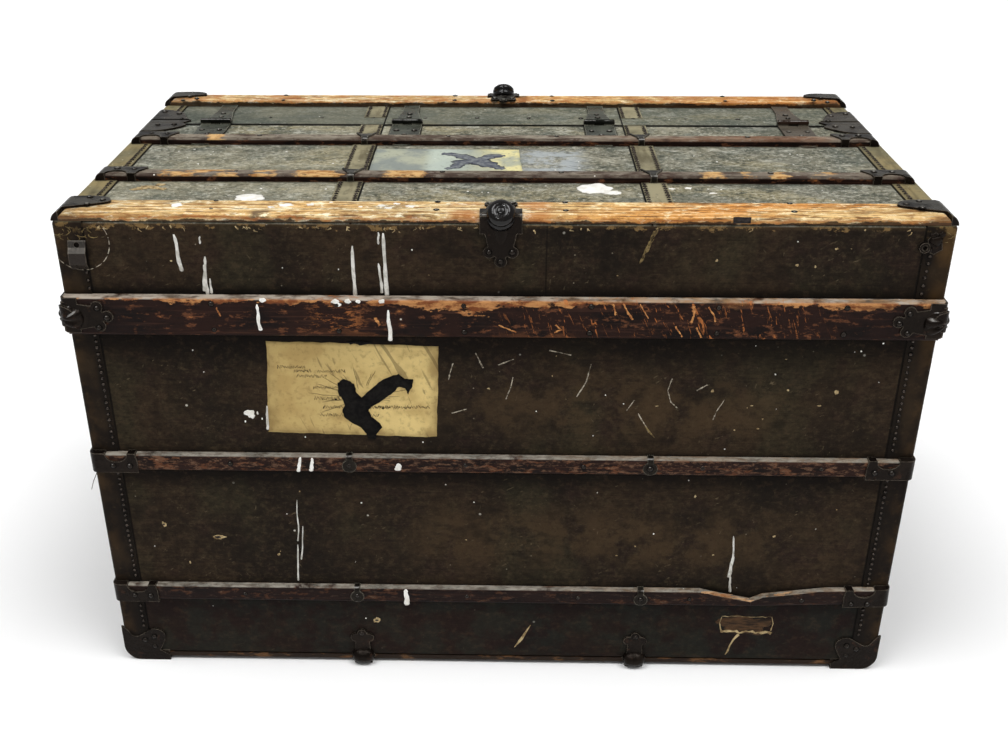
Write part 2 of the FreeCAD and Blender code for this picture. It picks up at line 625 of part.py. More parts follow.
def handle():
    """Leather strap handle on the +X end, bowed out between its two flat ends."""
    swing = math.acos(1 - STRAP_RISE / (2 * STRAP_BEND))
    run = 2 * STRAP_BEND * math.sin(swing)
    low = END + CLEAR + STRAP_THICK / 2
    high = low + STRAP_RISE
    half = STRAP_SPAN / 2

    def bend(z_start, z_end, x_start, x_end, centre_x, centre_z):
        middle_angle = math.atan2((x_start + x_end) / 2 - centre_x, (z_start + z_end) / 2 - centre_z)
        mid = (centre_x + STRAP_BEND * math.sin(middle_angle), centre_z + STRAP_BEND * math.cos(middle_angle))
        return Part.Arc(Vector(x_start, 0, z_start), Vector(mid[0], 0, mid[1]), Vector(x_end, 0, z_end)).toShape()

    edges = []
    for side in (-1, 1):
        top = side * half
        knee = side * (half + run / 2)
        foot = side * (half + run)
        knee_x = (low + high) / 2
        outer = bend(top, knee, high, knee_x, high - STRAP_BEND, top)
        inner = bend(knee, foot, knee_x, low, low + STRAP_BEND, foot)
        flat = Part.makeLine(Vector(low, 0, foot), Vector(low, 0, side * (half + run + STRAP_FLAT)))
        edges += [outer, inner, flat]
    edges.append(Part.makeLine(Vector(high, 0, -half), Vector(high, 0, half)))
    line = Part.Wire(Part.__sortEdges__(edges))
    strap = Part.Face(line.makeOffset2D(STRAP_THICK / 2)).extrude(Vector(0, STRAP, 0))
    strap.translate(Vector(0, HANDLE_Y - STRAP / 2, MID_Z))
    stops = []
    for z in both(half + run + STRAP_FLAT - 12.0, half + run + STRAP_FLAT):
        stop = block((END + CLEAR, END + CLEAR + 8.5), (HANDLE_Y - STRAP / 2, HANDLE_Y + STRAP / 2),
                     (MID_Z + z[0], MID_Z + z[1]))
        stops.append(stop.makeFillet(2.0, [e for e in stop.Edges if e.CenterOfMass.x > END + 8.0]))
    return joined([strap] + stops)


def handle_loops():
    """The two iron loops on the +X end that hold the strap's ends."""
    swing = math.acos(1 - STRAP_RISE / (2 * STRAP_BEND))
    start = STRAP_SPAN / 2 + 2 * STRAP_BEND * math.sin(swing) + 2.0
    inner = STRAP / 2 + 1.0
    rise = CLEAR + STRAP_THICK + HANDLE_TRAVEL + CLEAR
    middle = SHEET / 2
    loops = []
    for z in both(start, start + 18.0):
        line = [(END + middle, HANDLE_Y + side * y, 0) for side, y in ((-1, inner + 16), (-1, inner + middle))]
        crown = [(END + rise + middle, HANDLE_Y + side * (inner + middle), 0) for side in (-1, 1)]
        close = [(END + middle, HANDLE_Y + side * y, 0) for side, y in ((1, inner + middle), (1, inner + 16))]
        loop = strip_of(line + crown + close, SHEET, z[1] - z[0], (0, 0, 1))
        loop.translate(Vector(0, 0, MID_Z + z[0]))
        loops.append(loop)
    return loops


# ---- remains of the casters on the bottom -----------------------------------------------------
def caster_strap():
    """Bent strap left of a caster near the back corner, with its rivet hole."""
    middle = -483.0
    line = [(0, BOTTOM - 1.0, 610.0), (0, BOTTOM - 3.5, 603.0), (0, BOTTOM - 7.0, 597.0), (0, BOTTOM - 7.0, 584.0),
            (0, BOTTOM - 2.0, 577.0)]
    strap = strip_of(line, THIN_SHEET, 20.0, (1, 0, 0))
    strap.translate(Vector(middle - 10.0, 0, 0))
    hole = Part.makeCylinder(3.2, 30.0, Vector(middle, BOTTOM - 20.0, 606.0), Vector(0, 1, 0))
    tail = block((middle - 2.0, middle + 4.5), (BOTTOM - 1.0, BOTTOM), (546.0, 577.0))
    return joined([strap.cut(hole), tail])


def caster_stump():
    """What is left of the other caster: a torn plate with a curled round eye."""
    plate = prism([(478, 604), (486, 600), (495, 606), (492, 622), (484, 627), (477, 618)], THIN_SHEET)
    plate = seat(plate, (0, BOTTOM, 0), (0, 0, 1), (0, -1, 0))
    eye = Part.makeCylinder(6.0, 5.0, Vector(474.0, BOTTOM - 5.0, 609.0), Vector(0, 1, 0))
    pit = Part.makeCylinder(3.0, 3.0, Vector(474.0, BOTTOM - 5.0, 609.0), Vector(0, 1, 0))
    return plate.fuse(eye.cut(pit))


# ---- assembly ---------------------------------------------------------------------------------
def build():
    nodes = {}
    canvas = trunk_block(0).cut(trunk_block(-CANVAS))
    solid_trunk = trunk_block(0)
    body_fibre = fibre(lid=False)
    lid_fibre = fibre(lid=True)
    mouth_band = seam_band()
    way = staple_way()

    body = boards(BOTTOM + WALL, BODY_MOUTH, (BOTTOM, BOTTOM + WALL))
    nodes["body_bottom_board"] = body["panel"]
    nodes["body_back_board"] = body["back"]
    nodes["body_front_board"] = body["front"].cut(way)
    nodes["body_end_board_left"] = body["left"]
    nodes["body_end_board_right"] = body["right"]
    nodes["body_canvas"] = on_body(canvas).cut(way)
    nodes["body_lining"] = lining(BOTTOM + WALL, BODY_MOUTH, True)
    nodes["body_fibre_bindings"] = body_fibre
    nodes["body_mouth_lip"] = mouth_lip()
    nodes["tray_cleats"] = tray_cleats()

    lid = boards(LID_MOUTH, TOP - WALL, (TOP - WALL, TOP))
    nodes["lid_top_board"] = lid["panel"]
    nodes["lid_back_board"] = lid["back"]
    nodes["lid_front_board"] = lid["front"]
    nodes["lid_end_board_left"] = lid["left"]
    nodes["lid_end_board_right"] = lid["right"]
    nodes["lid_canvas"] = on_lid(canvas)
    nodes["lid_lining"] = lining(LID_MOUTH, TOP - WALL, False)
    nodes["lid_fibre_bindings"] = lid_fibre
    nodes["lid_seam_band"] = mouth_band

    body_leaves = [hinge_body_leaf(x) for x in HINGE_XS]
    lid_leaves = [hinge_lid_leaf(x, [mouth_band]) for x in HINGE_XS]
    for index, leaf in enumerate(body_leaves, 1):
        nodes["hinge_body_leaf_%d" % index] = leaf
    for index, leaf in enumerate(lid_leaves, 1):
        nodes["hinge_lid_leaf_%d" % index] = leaf
    nodes["hinge_pins"] = [hinge_pin(x) for x in HINGE_XS]

    under_body = [body_fibre, solid_trunk] + body_leaves
    under_lid = [lid_fibre, solid_trunk] + lid_leaves
    edge_width = BOTTOM_EDGE_SLAT[1] - BOTTOM_EDGE_SLAT[0]
    back_edge = slat_across(sum(BOTTOM_EDGE_SLAT) / 2, edge_width, under_body)
    back_slats = [slat_across(y, SLAT, under_body) for y in BODY_SLAT_YS]
    lid_width = LID_EDGE_SLAT[1] - LID_EDGE_SLAT[0]
    lid_back_edge = slat_across(sum(LID_EDGE_SLAT) / 2, lid_width, under_lid)
    plain_edge = slat_across(sum(BOTTOM_EDGE_SLAT) / 2, edge_width, [body_fibre, solid_trunk])
    plain_slats = [slat_across(y, SLAT, [body_fibre, solid_trunk]) for y in BODY_SLAT_YS]
    plain_lid_edge = slat_across(sum(LID_EDGE_SLAT) / 2, lid_width, [lid_fibre, solid_trunk])
    nodes["back_bottom_edge_slat"] = back_edge
    nodes["back_slat_lower"] = back_slats[0]
    nodes["back_slat_upper"] = back_slats[1]
    nodes["back_lid_edge_slat"] = lid_back_edge
    nodes["front_bottom_edge_slat"] = mirrored(plain_edge, 2)
    nodes["front_slats"] = [mirrored(slat, 2) for slat in plain_slats]
    nodes["front_lid_edge_slat"] = mirrored(plain_lid_edge, 2)

    face_slats = [
        slat_on_face(WIDE_SLAT_Z, WIDE_SLAT, WIDE_SLAT_THICK, under_body[:2]),
        slat_on_face(MIDDLE_SLAT_Z, SLAT, SLAT_THICK, under_body[:2]),
        slat_on_face(FRONT_SLAT_Z, SLAT, SLAT_THICK, under_body[:2]),
    ]
    nodes["bottom_slat_back"] = face_slats[0]
    nodes["bottom_slat_middle"] = face_slats[1]
    sound, broken = snapped_slat(face_slats[2])
    nodes["bottom_slat_front"] = [sound, broken.cut(under_body[:2])]
    nodes["lid_top_slats"] = [mirrored(slat, 1) for slat in face_slats]

    back_clamp = slat_clamp(SLAT_INSET, 8.0, 0.0)
    clamps = []
    for y in BODY_SLAT_YS:
        on_back = seat(back_clamp, (END, y, BACK), (0, -1, 0), (0, 0, 1)).cut([solid_trunk, body_fibre])
        for clamp in pair(on_back):
            clamps += pair(clamp, 2)
    bottom_clamps = []
    face_clamp = slat_clamp(0.0, 0.0, 22.0)
    for z in (MIDDLE_SLAT_Z, FRONT_SLAT_Z):
        on_bottom = seat(face_clamp, (-END, BOTTOM, z), (0, 0, 1), (0, -1, 0)).cut([solid_trunk, body_fibre])
        bottom_clamps += pair(on_bottom)
    plain_clamps = list(bottom_clamps)
    bottom_clamps[-1] = sprung(bottom_clamps[-1]).cut([solid_trunk, body_fibre])
    ties = []
    for x in (BAND_X, -BAND_X):
        for y in BODY_SLAT_YS:
            tie = seat(band_clamp(), (x, y, BACK), (0, -1, 0), (0, 0, 1)).cut(under_body)
            ties += pair(tie, 2)
    round_ties = []
    for z in (MIDDLE_SLAT_Z, FRONT_SLAT_Z):
        for x in (BAND_X, -BAND_X):
            round_ties.append(seat(round_clamp(), (x, BOTTOM, z), (0, 0, 1), (0, -1, 0)))
    nodes["body_slat_clamps"] = clamps + bottom_clamps
    nodes["body_band_clamps"] = ties + round_ties
    nodes["lid_slat_clamps"] = [mirrored(piece, 1) for piece in plain_clamps + round_ties]

    body_caps = []
    lid_caps = []
    top_cap = back_corner_cap(BOTTOM_EDGE_SLAT, [solid_trunk, body_fibre, back_edge])
    body_caps += pair(top_cap)
    body_caps += pair(front_corner_cap([solid_trunk, body_fibre, nodes["front_bottom_edge_slat"]]))
    lid_caps += pair(back_corner_cap(LID_EDGE_SLAT, [solid_trunk, lid_fibre, lid_back_edge]))
    low_cap = front_corner_cap([solid_trunk, mirrored(lid_fibre, 1), mirrored(nodes["front_lid_edge_slat"], 1)])
    lid_caps += pair(mirrored(low_cap, 1))
    nodes["body_corner_caps"] = body_caps
    nodes["lid_corner_caps"] = lid_caps

    body_plate = seam_plate(False, [solid_trunk, body_fibre])
    lid_plate = seam_plate(True, [solid_trunk, lid_fibre, mouth_band])
    nodes["body_seam_plates"] = [p for plate in pair(body_plate) for p in pair(plate, 2)]
    nodes["lid_seam_plates"] = [p for plate in pair(lid_plate) for p in pair(plate, 2)]

    back_bumper = back_edge_bumper()
    back_bumper.translate(Vector(0, BOTTOM, BACK))
    low_bumper = front_edge_bumper()
    low_bumper.translate(Vector(184.0, BOTTOM, BACK))
    low_pair = pair(mirrored(low_bumper, 2))
    corner_ball = seat(wide_slat_bumper(), (-END, BOTTOM, WIDE_SLAT_Z), (1, 0, 0), (0, -1, 0))
    corner_ball = corner_ball.cut([solid_trunk, body_fibre, face_slats[0]])
    nodes["body_ball_bumpers"] = [back_bumper] + low_pair + pair(corner_ball)
    nodes["lid_ball_bumpers"] = [mirrored(piece, 1) for piece in nodes["body_ball_bumpers"]]

    nodes["caster_strap_left"] = caster_strap().cut(body_fibre)
    nodes["caster_stump_right"] = caster_stump().cut(body_fibre)
    nodes["lock_plate"] = lock_plate()
    nodes["hasp_plate"] = hasp_plate().cut(mouth_band)
    nodes["hasp"] = hasp()
    nodes["latch_plates"] = [latch_plate(x) for x in LATCH_XS]
    nodes["latch_catches"] = [latch_catch(x).cut(mouth_band) for x in LATCH_XS]
    for side, x in zip(("left", "right"), LATCH_XS):
        nodes["latch_lever_" + side] = latch_lever(x)

    right_handle = handle()
    right_loops = handle_loops()
    nodes["handle_right"] = right_handle
    nodes["handle_left"] = mirrored(right_handle, 0)
    nodes["handle_loops"] = right_loops + [mirrored(loop, 0) for loop in right_loops]
    return nodes


def solids_of(piece):
    """Every solid of a node, from one shape or a list of shapes."""
    shapes = piece if isinstance(piece, list) else [piece]
    return [solid for shape in shapes for solid in shape.Solids]


def main():
    os.makedirs("parts", exist_ok=True)
    for name, piece in build().items():
        solids = solids_of(piece)
        shape = solids[0] if len(solids) == 1 else Part.makeCompound(solids)
        shape.exportStep("parts/%s.step" % name)


main()
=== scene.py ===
"""Dresses a worn, slatted travelling trunk: woods, canvas, iron, nails, rivets, labels and paint marks."""

import math
import random

import bmesh
import bpy
from mathutils import Matrix, Vector, noise


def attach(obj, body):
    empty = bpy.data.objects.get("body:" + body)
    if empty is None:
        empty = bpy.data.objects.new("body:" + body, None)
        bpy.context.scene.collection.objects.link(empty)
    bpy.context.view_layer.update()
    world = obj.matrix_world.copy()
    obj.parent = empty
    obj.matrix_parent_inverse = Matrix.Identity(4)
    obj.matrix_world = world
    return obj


bl_info = {
    "name": "Slatted trunk dresser",
    "version": (1, 0, 0),
    "blender": (4, 5, 0),
    "location": "View3D > Sidebar > Trunk",
    "description": "Finishes and small pieces of a slatted, canvas-covered travelling trunk",
    "category": "Object",
}

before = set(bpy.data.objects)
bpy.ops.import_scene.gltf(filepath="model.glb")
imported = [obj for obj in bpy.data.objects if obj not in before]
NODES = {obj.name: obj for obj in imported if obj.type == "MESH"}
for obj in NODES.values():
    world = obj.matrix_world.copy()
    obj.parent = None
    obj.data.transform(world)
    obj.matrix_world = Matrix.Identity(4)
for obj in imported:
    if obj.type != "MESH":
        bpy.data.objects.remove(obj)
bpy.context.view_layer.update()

MM = 0.001
BACK = 0.634                 # canvas of the back, which faces up
FRONT = 0.012                # canvas of the front, which faces the floor
MIDDLE = (FRONT + BACK) / 2
BOTTOM = -0.270              # canvas of the bottom
LID_TOP = 0.270
END = 0.508
SLAT_YS = (-0.1145, 0.044)   # slats across the back
SLAT_ZS = (0.3205, 0.1195)   # plain slats across the bottom
WIDE_SLAT_Z = 0.521
HINGE_XS = (-0.409, -0.136, 0.136, 0.409)
EDGE_ROW_X = 0.481           # nails along the ends' edges
BAND_ROWS_X = (0.1735, 0.1975)  # nails along both sides of a band
BAND_X = 0.1855              # middle of a band
SEAM_Y = 0.1318              # between body and lid
WARM_GLOSS = (1.0, 0.84, 0.72, 1.0)


# ---- settings ---------------------------------------------------------------------------------
def srgb(red, green, blue):
    """A colour picked on a 0-255 screen scale, as linear light."""
    def linear(value):
        value /= 255.0
        return value / 12.92 if value <= 0.04045 else ((value + 0.055) / 1.055) ** 2.4
    return (linear(red), linear(green), linear(blue), 1.0)


def colour_property(name, description, value):
    return bpy.props.FloatVectorProperty(name=name, description=description, default=value, size=4,
                                         min=0.0, max=1.0, subtype="COLOR")


def length_property(name, description, value):
    return bpy.props.FloatProperty(name=name, description=description, default=value, min=0.0, unit="LENGTH")


class TrunkColours(bpy.types.PropertyGroup):
    dark_canvas: colour_property("Dark canvas", "Painted canvas of bottom, ends and front", srgb(50, 39, 28))
    pale_canvas: colour_property("Faded canvas", "Sun-faded canvas of the back", srgb(112, 111, 98))
    bare_wood: colour_property("Bare wood", "Worn edge slats", srgb(230, 188, 122))
    stained_wood: colour_property("Stained wood", "Varnish left on the slats", srgb(37, 21, 16))
    iron: colour_property("Iron", "Black enamelled iron", srgb(15, 11, 9))
    hinge_iron: colour_property("Hinge iron", "Grey-green painted hinge leaves", srgb(54, 55, 48))
    fibre: colour_property("Edge fibre", "Vulcanised fibre over the edges", srgb(46, 36, 25))
    paper: colour_property("Label paper", "Aged paper of the label", srgb(222, 196, 130))


class TrunkSizes(bpy.types.PropertyGroup):
    nail_pitch: length_property("Nail pitch", "Distance between the nails of a row", 7.9 * MM)
    nail_radius: length_property("Nail radius", "Radius of a nail's head", 2.1 * MM)
    rivet_radius: length_property("Rivet radius", "Radius of a rivet's head", 3.1 * MM)
    label_width: length_property("Label width", "Width of the paper label", 205 * MM)
    label_height: length_property("Label height", "Height of the paper label", 126 * MM)


class StageSettings(bpy.types.PropertyGroup):
    key_strength: bpy.props.FloatProperty(name="Key lights", default=1.5, min=0.0,
                                          description="Strength of the two wide lights overhead")
    accent_power: bpy.props.FloatProperty(name="Accent light", default=16.0, min=0.0, unit="POWER",
                                          description="Power of the small light for glints")
    sky: bpy.props.FloatProperty(name="Sky", default=0.36, min=0.0,
                                 description="Strength of the even light from all sides")


# ---- node building ----------------------------------------------------------------------------
class Nodes:
    """Builds a node tree with short calls. An input is a number, a colour or another node's socket. A tone may
    be a triple on a 0-255 scale. A mask may be (value, low, high) for a step, or (value, low, high, soft) for a
    spot."""

    def __init__(self, tree):
        self.tree = tree
        self.vector = None

    def add(self, kind, inputs=None, **settings):
        node = self.tree.nodes.new(kind)
        for key, value in settings.items():
            setattr(node, key, value)
        for key, value in (inputs or {}).items():
            if isinstance(value, bpy.types.NodeSocket):
                self.tree.links.new(value, node.inputs[key])
            else:
                node.inputs[key].default_value = value
        return node

    def get(self, kind, inputs=None, **settings):
        """The first output of a new node."""
        return self.add(kind, inputs, **settings).outputs[0]

    def calc(self, operation, a, b=0.0):
        return self.get("ShaderNodeMath", {0: a, 1: b}, operation=operation)

    def plus(self, a, b):
        return self.calc("ADD", a, b)

    def minus(self, a, b):
        return self.calc("SUBTRACT", a, b)

    def times(self, a, b):
        return self.calc("MULTIPLY", a, b)

    def size(self, a):
        return self.calc("ABSOLUTE", a)

    def away(self, value, centre):
        """How far the value is from the centre."""
        return self.size(self.minus(value, centre))

    def sway(self, value, noise, amount):
        """The value, moved to and fro by a noise."""
        return self.plus(value, self.times(self.minus(noise, 0.5), amount))

    def step(self, value, low, high):
        """0 below low, 1 above high, smooth between; falls when low is above high."""
        swapped = low > high
        inputs = {"Value": value, "From Min": min(low, high), "From Max": max(low, high),
                  "To Min": 1.0 if swapped else 0.0, "To Max": 0.0 if swapped else 1.0}
        return self.get("ShaderNodeMapRange", inputs, interpolation_type="SMOOTHSTEP")

    def spot(self, value, low, high, soft):
        """1 between low and high, fading out over soft on both sides."""
        return self.both((value, low - soft, low + soft), (value, high + soft, high - soft))

    def mask(self, given):
        """The mask itself, or the step or the spot that a tuple asks for."""
        if not isinstance(given, tuple):
            return given
        return self.step(*given) if len(given) == 3 else self.spot(*given)

    def both(self, first, *others):
        result = self.mask(first)
        for other in others:
            result = self.times(result, self.mask(other))
        return result

    def either(self, first, *others):
        result = self.mask(first)
        for other in others:
            result = self.calc("MAXIMUM", result, self.mask(other))
        return result

    def mix(self, factor, a, b, blend="MIX"):
        a, b = (srgb(*tone) if isinstance(tone, tuple) and len(tone) == 3 else tone for tone in (a, b))
        node = self.add("ShaderNodeMix", {0: self.mask(factor), 6: a, 7: b}, data_type="RGBA", blend_type=blend)
        return node.outputs[2]

    def tint(self, colour, mask, amount, tone):
        """The colour, taken towards the tone by that amount where the mask says."""
        return self.mix(self.times(self.mask(mask), amount), colour, tone)

    def layers(self, colour, rows):
        """The colour after tints, from rows of (mask, amount, tone) or (value, low, high, amount, tone)."""
        for *mask, amount, tone in rows:
            colour = self.tint(colour, mask[0] if len(mask) == 1 else tuple(mask), amount, tone)
        return colour

    def split(self, vector):
        return self.add("ShaderNodeSeparateXYZ", {0: vector}).outputs

    def place(self):
        """Object coordinates, kept for the noises; returns x, y and z."""
        self.vector = self.add("ShaderNodeTexCoord").outputs["Object"]
        return self.split(self.vector)

    def facing(self):
        """The x, y and z of the surface's own direction."""
        return self.split(self.add("ShaderNodeTexCoord").outputs["Normal"])

    def stretched(self, x, y, z, turn=(0.0, 0.0, 0.0)):
        """Coordinates scaled per axis, after a turn."""
        turned = self.add("ShaderNodeVectorRotate", {"Vector": self.vector, "Rotation": turn},
                          rotation_type="EULER_XYZ")
        return self.get("ShaderNodeVectorMath", {0: turned.outputs[0], 1: (x, y, z)}, operation="MULTIPLY")

    def noise(self, scale, detail=3.0, roughness=0.55, distortion=0.0, stretch=None, turn=(0.0, 0.0, 0.0)):
        """A noise of one scale, or of one for each axis."""
        if isinstance(scale, tuple):
            scale, stretch = 1.0, scale
        vector = self.stretched(*stretch, turn) if stretch else self.vector
        inputs = {"Vector": vector, "Scale": scale, "Detail": detail, "Roughness": roughness,
                  "Distortion": distortion}
        return self.add("ShaderNodeTexNoise", inputs).outputs["Fac"]

    def specks(self, scale, share, size):
        """Round specks in a share of the cells of a grid of that scale."""
        cells = self.add("ShaderNodeTexVoronoi", {"Vector": self.vector, "Scale": scale, "Randomness": 1.0})
        tone = self.split(cells.outputs["Color"])[0]
        chosen = (tone, 1.0 - share, 1.0 - share + 0.01)
        return self.both((cells.outputs["Distance"], size, size * 0.55), chosen)

    def edges(self, radius, low=0.02, high=0.14):
        """1 along the edges of a piece, out to about that radius."""
        rounded = self.get("ShaderNodeBevel", {"Radius": radius}, samples=4)
        flat = self.add("ShaderNodeNewGeometry").outputs["Normal"]
        same = self.add("ShaderNodeVectorMath", {0: rounded, 1: flat}, operation="DOT_PRODUCT").outputs["Value"]
        return self.step(self.minus(1.0, same), low, high)

    def painted_shade(self, colour, distance, amount, tone):
        """Painted shade: the colour, darkened by ambient occlusion where other pieces stand close by."""
        share = self.add("ShaderNodeAmbientOcclusion", {"Distance": distance}, samples=6).outputs["AO"]
        return self.tint(colour, (share, 0.92, 0.45), amount, tone)

    def bump(self, height, distance, strength=1.0):
        inputs = {"Height": height, "Distance": distance, "Strength": strength}
        return self.get("ShaderNodeBump", inputs)

    def surface(self, colour, roughness, normal=None, metal=0.0, gloss=0.5, tint=(1.0, 1.0, 1.0, 1.0)):
        """The principled shader and the output."""
        inputs = {"Base Color": colour, "Roughness": roughness, "Metallic": metal, "Specular IOR Level": gloss,
                  "Specular Tint": tint}
        if normal is not None:
            inputs["Normal"] = normal
        shader = self.add("ShaderNodeBsdfPrincipled", inputs)
        self.add("ShaderNodeOutputMaterial", {0: shader.outputs[0]})


def new_material(name):
    material = bpy.data.materials.new(name)
    material.use_nodes = True
    material.node_tree.nodes.clear()
    return material, Nodes(material.node_tree)


def finish_nodes(names, material):
    """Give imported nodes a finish, in the slots they have."""
    for name in names:
        mesh = NODES[name].data
        if not mesh.materials:
            mesh.materials.append(material)
        for index in range(len(mesh.materials)):
            mesh.materials[index] = material


def named(*starts):
    """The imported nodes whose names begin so."""
    found = sorted(name for name in NODES if name.startswith(starts))
    if not found:
        raise RuntimeError("no packed node is named like %s" % (starts,))
    return found


# ---- finishes ---------------------------------------------------------------------------------
def painted_canvas(colours):
    """Oil-painted canvas: near black and scratched on the sides, dusty grey-green on the back."""
    material, make = new_material("Painted canvas")
    x, y, z = make.place()
    broad = make.noise(5, 4)
    middle = make.noise(19, 5, 0.7)
    fine = make.noise(95, 4, 0.7)
    # dark is the paint of the bottom, the ends and the front
    dark = make.mix((broad, 0.4, 0.62), colours.dark_canvas, (33, 27, 21))
    olive = make.noise(9, 3, stretch=(1, 1, 0.6))
    dark = make.layers(dark, [
        (middle, 0.5, 0.68, 0.6, (46, 33, 28)),
        (olive, 0.52, 0.66, 0.6, (50, 46, 32)),
        (fine, 0.5, 0.75, 0.5, (72, 62, 46))])
    for turn, amount in (((0, 0.5, 0.3), 0.62), ((0, -0.9, 0.2), 0.66), ((0.3, 1.35, 0), 0.64)):
        lines = make.noise((8, 300, 330), 2, 0.5, turn=turn)
        some = make.noise(16, 2, stretch=(1, 1, 1), turn=turn)
        scratch = make.both((lines, amount + 0.06, amount + 0.12), (some, 0.5, 0.62))
        dark = make.tint(dark, scratch, 0.55, (120, 106, 82))
    dark = make.tint(dark, (make.noise(52, 5, 0.62), 0.735, 0.76), 0.8, (150, 120, 82))
    dark = make.mix(make.specks(42, 0.1, 0.085), dark, (212, 206, 192))
    dark = make.mix(make.specks(95, 0.05, 0.1), dark, (150, 140, 122))
    mottle = make.noise(150, 6, 0.8, stretch=(1, 1, 1.6))
    threads = make.noise((16, 500, 500), 3, 0.6)
    on_bottom = make.step(y, BOTTOM + 0.006, BOTTOM + 0.002)
    dark = make.layers(dark, [
        (mottle, 0.5, 0.62, 0.52, (20, 16, 13)),
        (mottle, 0.47, 0.36, 0.46, (72, 60, 44)),
        (threads, 0.53, 0.66, 0.4, (22, 18, 15))])
    # painted shade: darker bands on the bottom's canvas below each slat and just above the wide slat
    for slat_low, fade in ((WIDE_SLAT_Z - 0.024, 0.056), (SLAT_ZS[0] - 0.0115, 0.036),
                           (SLAT_ZS[1] - 0.0115, 0.026), (WIDE_SLAT_Z + 0.045, 0.022)):
        shade = make.both((z, slat_low - fade, slat_low - 0.003), (z, slat_low + 0.003, slat_low))
        if slat_low > WIDE_SLAT_Z:
            shade = make.both((z, slat_low, slat_low - fade), (z, WIDE_SLAT_Z, WIDE_SLAT_Z + 0.01))
        dark = make.tint(dark, make.both(shade, on_bottom), 0.85, (11, 9, 8))
    warm_zone = make.either(make.both((z, 0.36, 0.44, 0.03), (x, -0.07, 0.34, 0.1)),
                            make.both((z, 0.165, 0.25, 0.03), (x, -0.1, 0.38, 0.12)))
    soot = make.noise(11, 4, 0.6, stretch=(1, 1, 1.7))
    cool = make.mix((middle, 0.42, 0.58), (31, 33, 30), (30, 20, 20))
    patchy = make.noise(70, 5, 0.75, stretch=(1, 1, 1.3))
    leftward = make.step(x, 0.2, -0.44)
    frayed = make.noise(58, 5, 0.72, stretch=(1, 1, 1.5))
    rim = make.plus(make.step(z, 0.6, 0.634), make.times(leftward, 0.06))
    torn = make.both((z, 0.606, 0.622), (make.times(rim, frayed), 0.5, 0.56))
    joint = make.both((make.away(x, 0.052), 0.0011, 0.0006), (z, 0.544, 0.546))
    # pale is the faded paint of the back
    along = make.noise((26, 70, 70), 6, 0.72)
    grit = make.noise(170, 5, 0.8)
    clouds = make.noise(30, 6, 0.72, stretch=(1, 1.5, 1))
    pale = make.mix((broad, 0.36, 0.64), colours.pale_canvas, (136, 131, 110))
    dark = make.layers(dark, [
        (make.both(warm_zone, (middle, 0.62, 0.44)), 0.46, (80, 63, 43)),
        (soot, 0.52, 0.66, 0.5, (21, 18, 15)),
        (z, 0.125, 0.095, 0.7, cool),
        (patchy, 0.5, 0.6, 0.3, (26, 20, 16)),
        (patchy, 0.47, 0.37, 0.24, (70, 54, 40)),
        (torn, 0.85, (132, 106, 68)),
        (z, 0.626, 0.633, 0.4, (84, 66, 42)),
        (joint, 0.7, (14, 12, 10))])
    warm = make.noise(6.5, 3, stretch=(1, 2.2, 1))
    smudges = make.noise(13, 5, 0.6, stretch=(1, 1.7, 1))
    smear = make.both((x, 0.026, 0.105, 0.02), (y, -0.088, 0.012, 0.012), (clouds, 0.4, 0.56))
    scuffs = make.noise((14, 120, 120), 4, 0.6, turn=(0, 0, 0.5))
    far_left = make.both((y, 0.132, 0.138), (x, 0.12, -0.3))
    bright = make.both((x, 0.05, -0.25), (broad, 0.42, 0.56))
    pale = make.layers(pale, [
        (middle, 0.47, 0.66, 0.7, (104, 110, 103)),
        (warm, 0.52, 0.66, 0.6, (158, 147, 112)),
        (along, 0.52, 0.68, 0.55, (80, 82, 72)),
        (along, 0.46, 0.32, 0.45, (168, 167, 154)),
        (clouds, 0.5, 0.62, 0.85, (76, 79, 70)),
        (clouds, 0.46, 0.36, 0.75, (178, 177, 164)),
        (fine, 0.54, 0.72, 0.35, (66, 68, 60)),
        (grit, 0.52, 0.61, 0.72, (46, 49, 43)),
        (grit, 0.47, 0.36, 0.6, (202, 199, 184)),
        (smudges, 0.52, 0.64, 0.4, (84, 88, 80)),
        (smudges, 0.46, 0.36, 0.3, (172, 168, 150)),
        (smear, 0.75, (176, 182, 184)),
        (scuffs, 0.62, 0.68, 0.5, (52, 52, 46)),
        (y, 0.132, 0.138, 0.42, (84, 90, 80)),
        (far_left, 0.45, (68, 73, 68)),
        (bright, 0.12, (182, 176, 150)),
        (make.away(y, SEAM_Y), 0.0056, 0.0032, 0.92, (14, 13, 12))])
    pale = make.mix(make.specks(75, 0.1, 0.1), pale, (232, 230, 220))
    pale = make.mix(make.specks(150, 0.1, 0.12), pale, (214, 210, 196))
    # painted shade along the sides and the scalloped ends of the body's hinge leaves
    for hinge_x in HINGE_XS:
        gap = make.away(x, hinge_x)
        shade = make.either(make.both((gap, 0.0195, 0.0228, 0.0008), (y, 0.06, 0.128, 0.002)),
                            make.both((gap, 0.0226, 0.0216), (y, 0.0556, 0.064, 0.0008)))
        pale = make.tint(pale, shade, 0.8, (20, 20, 18))
    size = make.size(x)
    beside_edge = make.step(make.away(size, 0.4738), 0.0014, 0.0008)
    beside_band = make.step(make.away(size, 0.1693), 0.0014, 0.0008)
    pale = make.mix(make.either(beside_edge, beside_band), pale, (26, 25, 23))
